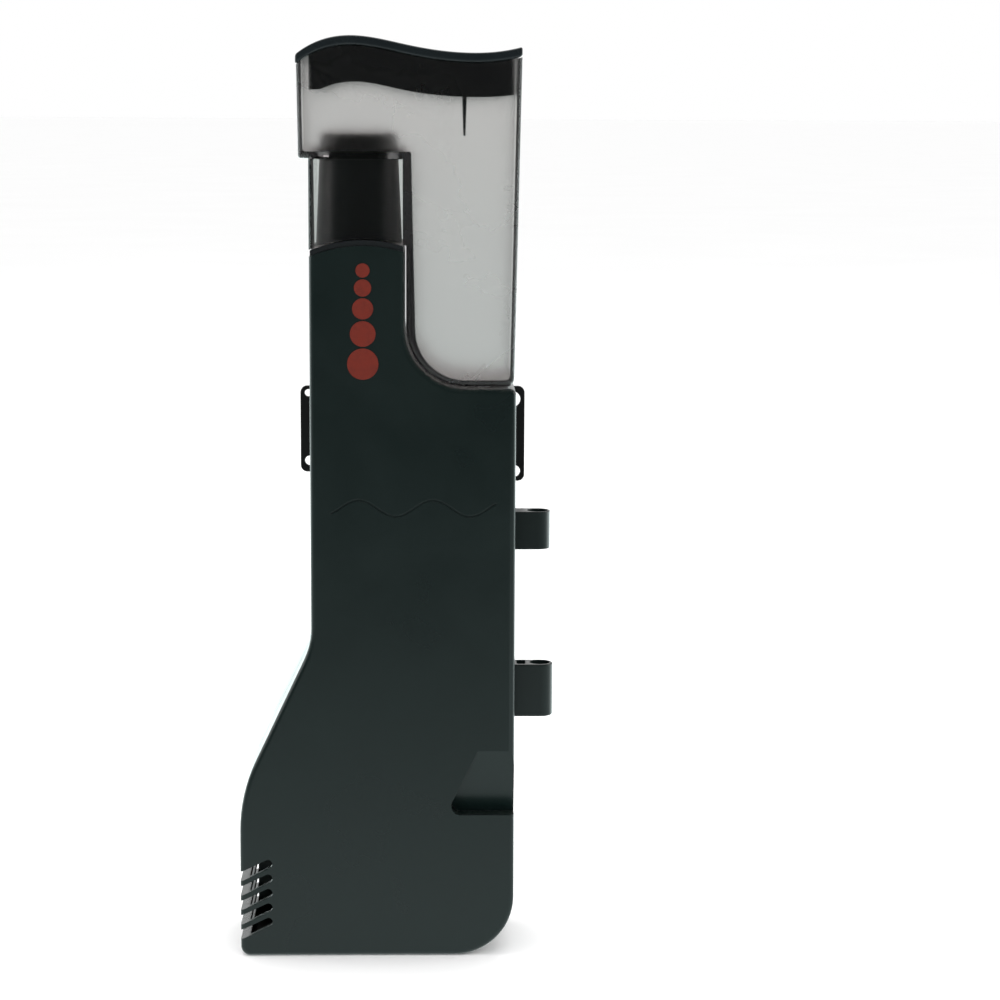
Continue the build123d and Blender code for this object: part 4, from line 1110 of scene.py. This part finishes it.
@dataclass
class Lid(SubAssembly):
    """The wavy lid plate, its plug and its level pin."""

    wave: tuple[Point, ...] = ((-41.4, 328.1), (-19.6, 334.8), (-1.0, 331.5), (20.3, 329.0), (38.6, 331.1))
    plate: dict[str, float] = field(default_factory=lambda: {"Depth": 50.6 * MM, "Thickness": 3.3 * MM})
    plug_wave: tuple[Point, ...] = ((-32.7, 315.9), (-20.1, 318.7), (-3.1, 315.8), (19.4, 313.5),
                                    (35.9, 314.3))
    plug_ends: tuple[float, float] = (-36.8, 35.9)
    plug_half: float = 22.9
    plug_wall: float = 2.0
    plug_corners: tuple[float, float] = (2.0, 1.0)
    pin_foot: tuple[float, float] = (18.2, -21.9)
    pin: tuple[Point, ...] = ((0.0, 300.0), (0.25, 300.0), (0.4, 300.2), (0.9, 315.5), (0.0, 315.5))
    stations: int = 96
    rounding: float = 0.9 * MM

    def plate_tree(self) -> GeometryTree:
        """Builds the tree that widens a wavy line into a plate of even thickness.

        Returns:
            The tree.
        """
        tree = GeometryTree("wavy_plate", self.plate)
        line, across = tree.source.outputs["Geometry"], tree.vector(y=tree.take("Depth"))
        wide = tree.add("GeometryNodeExtrudeMesh", {"Mesh": line, "Offset": across}, mode="EDGES")
        down = tree.math("MULTIPLY", tree.take("Thickness"), -1.0)
        thick = tree.add("GeometryNodeExtrudeMesh", {"Mesh": wide.outputs[0], "Individual": False,
                                                     "Offset": tree.vector(z=down)}, mode="FACES")
        upper = tree.add("GeometryNodeFlipFaces", {0: wide.outputs[0]})
        whole = tree.add("GeometryNodeMergeByDistance", {0: tree.join(thick.outputs[0], upper.outputs[0]),
                                                         "Distance": 0.001 * MM})
        tree.close(whole.outputs[0])
        return tree

    def plug(self) -> bpy.types.Mesh:
        """The plug: a wall around a rounded rectangle, wavy below, with its top inside the plate.

        Returns:
            The closed mesh.
        """
        top, bottom = spline(self.wave, self.stations), spline(self.plug_wave, self.stations)
        sunk = self.plate["Thickness"] / MM / 2
        shape = bmesh.new()
        rows = []
        for inset, corner in zip((0.0, self.plug_wall), self.plug_corners):
            left, right = self.plug_ends[0] + inset, self.plug_ends[1] - inset
            loop = rounded_loop(left, right, self.plug_half - inset, corner, self.stations)
            low = [(x, y, height(bottom, x)) for x, y in loop]
            high = [(x, y, height(top, x) - sunk) for x, y in loop]
            rows += [low, high] if inset == 0.0 else [high, low]
        made = [[shape.verts.new([value * MM for value in spot]) for spot in row] for row in rows]
        for row, beside in zip(made, made[1:] + made[:1]):
            for i, here in enumerate(row):
                j = (i + 1) % len(row)
                shape.faces.new((here, row[j], beside[j], beside[i]))
        mesh = bpy.data.meshes.new("plug")
        shape.to_mesh(mesh)
        shape.free()
        return mesh

    def build(self) -> None:
        """Builds and dresses the whole sub-assembly."""
        finish = LID.material()
        half = self.plate["Depth"] / 2
        crest = metres(spline(self.wave, self.stations))
        line = points_mesh("lid_wave", [(x, -half, z) for x, z in crest], True)
        plate = self.plate_tree().grow("wavy_lid_plate", line, finish)
        outwards(plate)
        soften(plate, self.rounding, 4)
        self.keep(plate, Body.LID, Slot.LID, "cup_lid")
        plug = stand("lid_plug", self.plug())
        outwards(plug)
        soften(plug, 0.3 * MM)
        foot = Vector((self.pin_foot[0] * MM, self.pin_foot[1] * MM, 0.0))
        pin = stand("lid_level_pin", lathe(metres(self.pin), foot, UP, 24))
        soften(pin, 0.0)
        for piece in (plug, pin):
            dress(piece, finish)
            self.keep(piece, Body.LID, Slot.LID, "cup_lid")


def rounded_loop(left: float, right: float, half: float, radius: float, steps: int,
                 turns: int = 6) -> list[Point]:
    """Points around a rounded rectangle whose long sides lie along x.

    Args:
        left: Its least x.
        right: Its greatest x.
        half: Half its width along y.
        radius: Radius of its corners.
        steps: Spans along each long side.
        turns: Spans around each corner.

    Returns:
        The points, anticlockwise.
    """
    low, high = left + radius, right - radius
    points: list[Point] = []
    for x, y, start in ((high, half - radius, 0), (low, half - radius, 90), (low, radius - half, 180),
                        (high, radius - half, 270)):
        for i in range(turns + 1):
            angle = math.radians(start + 90 * i / turns)
            points.append((x + radius * math.cos(angle), y + radius * math.sin(angle)))
        if start in (0, 180):
            end = low if start == 0 else high
            points += [(x + (end - x) * i / steps, points[-1][1]) for i in range(1, steps)]
    return points


def height(samples: Sequence[Point], x: float) -> float:
    """The height at x on a row of points in order of x, level beyond its ends."""
    if x <= samples[0][0]:
        return samples[0][1]
    for (low, start), (high, end) in zip(samples, samples[1:]):
        if x <= high:
            return start + (end - start) * (x - low) / (high - low)
    return samples[-1][1]


def outwards(piece: Piece) -> None:
    """Turns all of a closed piece's faces outwards."""
    shape = bmesh.new()
    shape.from_mesh(piece.data)
    bmesh.ops.recalc_face_normals(shape, faces=shape.faces)
    shape.to_mesh(piece.data)
    shape.free()


# ---------------------------------------------------------------- holder
@dataclass
class Holder(SubAssembly):
    """The rails, the sliding plate and its two suction cups."""

    suction_x: float = 29.6 * MM
    suction_z: float = 188.0 * MM
    plate_y: float = 29.8 * MM
    profile: tuple[Point, ...] = ((0.0, -2.2), (2.6, -2.2), (3.0, -2.0), (3.8, -0.6), (3.85, -0.35),
                                  (3.7, -0.3), (2.5, -0.3), (2.5, 2.3), (4.5, 2.3), (4.6, 2.4),
                                  (4.95, 4.4), (5.3, 4.75), (7.0, 5.55), (8.4, 6.4), (9.6, 7.45),
                                  (10.7, 8.6), (11.5, 9.5), (11.75, 9.9), (11.7, 10.05), (11.4, 10.08),
                                  (10.9, 10.05), (9.9, 9.3), (8.4, 8.35), (6.6, 7.6), (3.5, 6.85),
                                  (0.0, 6.6))

    def suction(self, side: int, name: str, node: str, finish: bpy.types.Material) -> None:
        """Turns one suction cup.

        Args:
            side: -1 for the left one, 1 for the right one.
            name: Name of the piece.
            node: CAD node that it replaces.
            finish: Its material.
        """
        centre = Vector((side * self.suction_x, self.plate_y, self.suction_z))
        cup = stand(name, lathe(metres(self.profile), centre, Vector((0, 1, 0)), 96))
        soften(cup, 0.0)
        dress(cup, finish)
        self.keep(cup, Body.HOLDER, Slot.RUBBER, node)

    def build(self) -> None:
        """Builds and dresses the whole sub-assembly."""
        finish, rubber = HOLDER.material(), RUBBER.material()
        self.refine("holder_plate", "holder_plate_moulding", Body.HOLDER, Slot.HOLDER, finish, 0.25 * MM)
        self.refine("left_rail", "left_rail_moulding", Body.HOUSING, Slot.HOLDER, finish, 0.25 * MM)
        self.refine("right_rail", "right_rail_moulding", Body.HOUSING, Slot.HOLDER, finish, 0.25 * MM)
        self.suction(-1, "left_suction_cup_turned", "left_suction_cup", rubber)
        self.suction(1, "right_suction_cup_turned", "right_suction_cup", rubber)


# ---------------------------------------------------------------- studio
@dataclass
class Studio:
    """The pale floor, which glows in reflections as painted light, the soft light and the camera."""

    lens: float = 96.19
    sensor: float = 36.0
    eye: tuple[float, float, float] = (6.8 * MM, -976.5 * MM, 311.7 * MM)
    tilt: float = 8.462
    yaw: float = 1.477
    roll: float = 0.263
    floor_side: float = 120.0
    dim: float = 0.03
    fill: float = 1.05
    mirrored_back: tuple[float, float] = (0.0, 0.85)
    refracted_back: tuple[float, float] = (0.05, 0.62)
    # The floor's painted glow for glossy rays: its tint, the boost behind the object, and its strength near
    # and far in front.
    floor_glow_tint: Colour = (0.88, 1.0, 0.99)
    rear_floor_glow: float = 2.2
    rear_ends: tuple[tuple[float, float], tuple[float, float]] = ((0.03, 0.25), (3.2, 1.6))
    near_floor_glow: float = 1.0
    far_floor_glow: float = 0.07
    falloff: tuple[float, float] = (-0.10, -0.95)
    clip: tuple[float, float] = (0.01, 50.0)
    aim: tuple[float, float, float] = (0.0, 0.0, 0.16)
    floor_whites: tuple[Colour, Colour] = ((0.97, 0.97, 0.97), (0.985, 0.985, 0.985))

    def camera(self) -> None:
        """Sets the camera up at the chosen viewpoint."""
        data = bpy.data.cameras.new("camera")
        data.lens, data.sensor_width = self.lens, self.sensor
        data.clip_start, data.clip_end = self.clip
        tilt, yaw, roll = (math.radians(a) for a in (self.tilt, self.yaw, self.roll))
        ahead = Vector((math.sin(yaw) * math.cos(tilt), math.cos(yaw) * math.cos(tilt), -math.sin(tilt)))
        level = Vector((math.cos(yaw), -math.sin(yaw), 0.0))
        upright = level.cross(ahead)
        right = level * math.cos(roll) + upright * math.sin(roll)
        up = upright * math.cos(roll) - level * math.sin(roll)
        turn = Matrix((right, up, -ahead)).transposed().to_4x4()
        camera = bpy.data.objects.new("camera", data)
        camera.matrix_world = Matrix.Translation(self.eye) @ turn
        bpy.context.scene.collection.objects.link(camera)
        bpy.context.scene.camera = camera

    def world(self) -> None:
        """Lights the room: white behind the object, dim in front of it, and white to look at."""
        world = bpy.data.worlds.new("studio")
        world.use_nodes = True
        bpy.context.scene.world = world
        tree = world.node_tree
        tree.nodes.clear()
        way = place(tree, "ShaderNodeTexCoord").outputs["Generated"]
        parts = place(tree, "ShaderNodeSeparateXYZ", {0: way})
        path = place(tree, "ShaderNodeLightPath")
        mirrored, refracted = (
            place(tree, "ShaderNodeMapRange",
                  {"Value": parts.outputs["Y"], "From Min": start, "From Max": end, "To Min": self.dim,
                   "To Max": 1.0}, interpolation_type="SMOOTHSTEP").outputs[0]
            for start, end in (self.mirrored_back, self.refracted_back))
        back = place(tree, "ShaderNodeMix",
                     {0: path.outputs["Is Transmission Ray"], 2: mirrored, 3: refracted})
        room, even, seen = (
            place(tree, "ShaderNodeBackground", {"Color": WHITE, "Strength": strength}).outputs[0]
            for strength in (back.outputs[0], self.fill, 1.0))
        soft = place(tree, "ShaderNodeMixShader", {0: path.outputs["Is Diffuse Ray"], 1: room, 2: even})
        both = place(tree, "ShaderNodeMixShader",
                     {0: path.outputs["Is Camera Ray"], 1: soft.outputs[0], 2: seen})
        place(tree, "ShaderNodeOutputWorld", {"Surface": both.outputs[0]})

    def lamp(self, name: str, place_at: tuple[float, float, float], size: float, power: float,
             glossy: bool = True) -> None:
        """Hangs a square soft light that faces the object's middle.

        Args:
            name: Name of the light.
            place_at: Where it hangs, in metres.
            size: Its side in metres.
            power: Its power in watts.
            glossy: Whether it shows in reflections.
        """
        data = bpy.data.lights.new(name, "AREA")
        data.size, data.energy = size, power
        light = bpy.data.objects.new(name, data)
        light.location = place_at
        aim = Vector(self.aim) - Vector(place_at)
        light.rotation_mode = "QUATERNION"
        light.rotation_quaternion = aim.to_track_quat("-Z", "Y")
        light.visible_glossy = glossy
        bpy.context.scene.collection.objects.link(light)

    def lights(self) -> None:
        """Hangs the soft lights."""
        self.lamp("left_softbox", (-1.6, 0.1, 0.8), 0.9, 9.0)
        self.lamp("right_softbox", (1.6, 0.1, 0.8), 0.9, 8.0)
        self.lamp("front_fill", (0.3, -2.2, 1.6), 1.6, 6.0, glossy=False)
        self.lamp("top_softbox", (0.0, 0.5, 1.9), 1.6, 16.0)

    def floor(self) -> None:
        """Lays the pale floor. Glossy rays see a painted glow in place of its lit colour: full near the
        object, fading far in front, and stronger behind it in reflections.
        """
        half = self.floor_side / 2
        mesh = bpy.data.meshes.new("floor")
        mesh.from_pydata([(-half, -half, 0), (half, -half, 0), (half, half, 0), (-half, half, 0)], [],
                         [(0, 1, 2, 3)])
        floor = stand("floor", mesh)
        made = Surface("floor_white")
        cloud = made.add("ShaderNodeTexNoise", {"Vector": made.spot, "Scale": 3.0, "Detail": 2.0})
        base = made.blend(made.range(cloud.outputs[0], 0.0, 1.0, *MID_TONES), *self.floor_whites)
        made.feed(Base_Color=base)
        made.set(Roughness=0.8, Specular_IOR_Level=0.1)
        ahead = made.add("ShaderNodeSeparateXYZ", {0: made.spot}).outputs["Y"]
        painted_floor_glow = made.range(ahead, self.near_floor_glow, self.far_floor_glow, *self.falloff)
        path = made.add("ShaderNodeLightPath")
        near, far = (made.range(ahead, 0.0, self.rear_floor_glow, *ends) for ends in self.rear_ends)
        rear_glow_boost = made.math("MINIMUM", near, far)
        bounced = made.range(path.outputs["Is Transmission Ray"], 1.0, 0.0)
        painted_floor_glow = made.math("MULTIPLY_ADD", rear_glow_boost, bounced, painted_floor_glow)
        # Painted reflection: glossy rays see this emission instead of the lit floor.
        mirrored = made.add("ShaderNodeEmission", {"Color": (*self.floor_glow_tint, 1.0), "Strength": painted_floor_glow})
        both = made.add("ShaderNodeMixShader", {0: path.outputs["Is Glossy Ray"], 1: made.shader.outputs[0],
                                                2: mirrored.outputs[0]})
        made.tree.links.new(both.outputs[0], made.tree.nodes["Material Output"].inputs["Surface"])
        dress(floor, made.material)

    def build(self) -> None:
        """Sets up the whole studio."""
        bpy.context.scene.view_settings.view_transform = "Standard"
        self.camera()
        self.world()
        self.lights()
        self.floor()


def main() -> None:
    """Builds the studio and every sub-assembly in order."""
    logging.basicConfig(level=logging.INFO, format="%(message)s")
    Studio().build()
    for assembly in (Housing(), HoseGuides(), Inside(), FoamPath(), Lid(), Holder()):
        assembly.build()
        assembly.report()


if __name__ == "__main__":
    main()
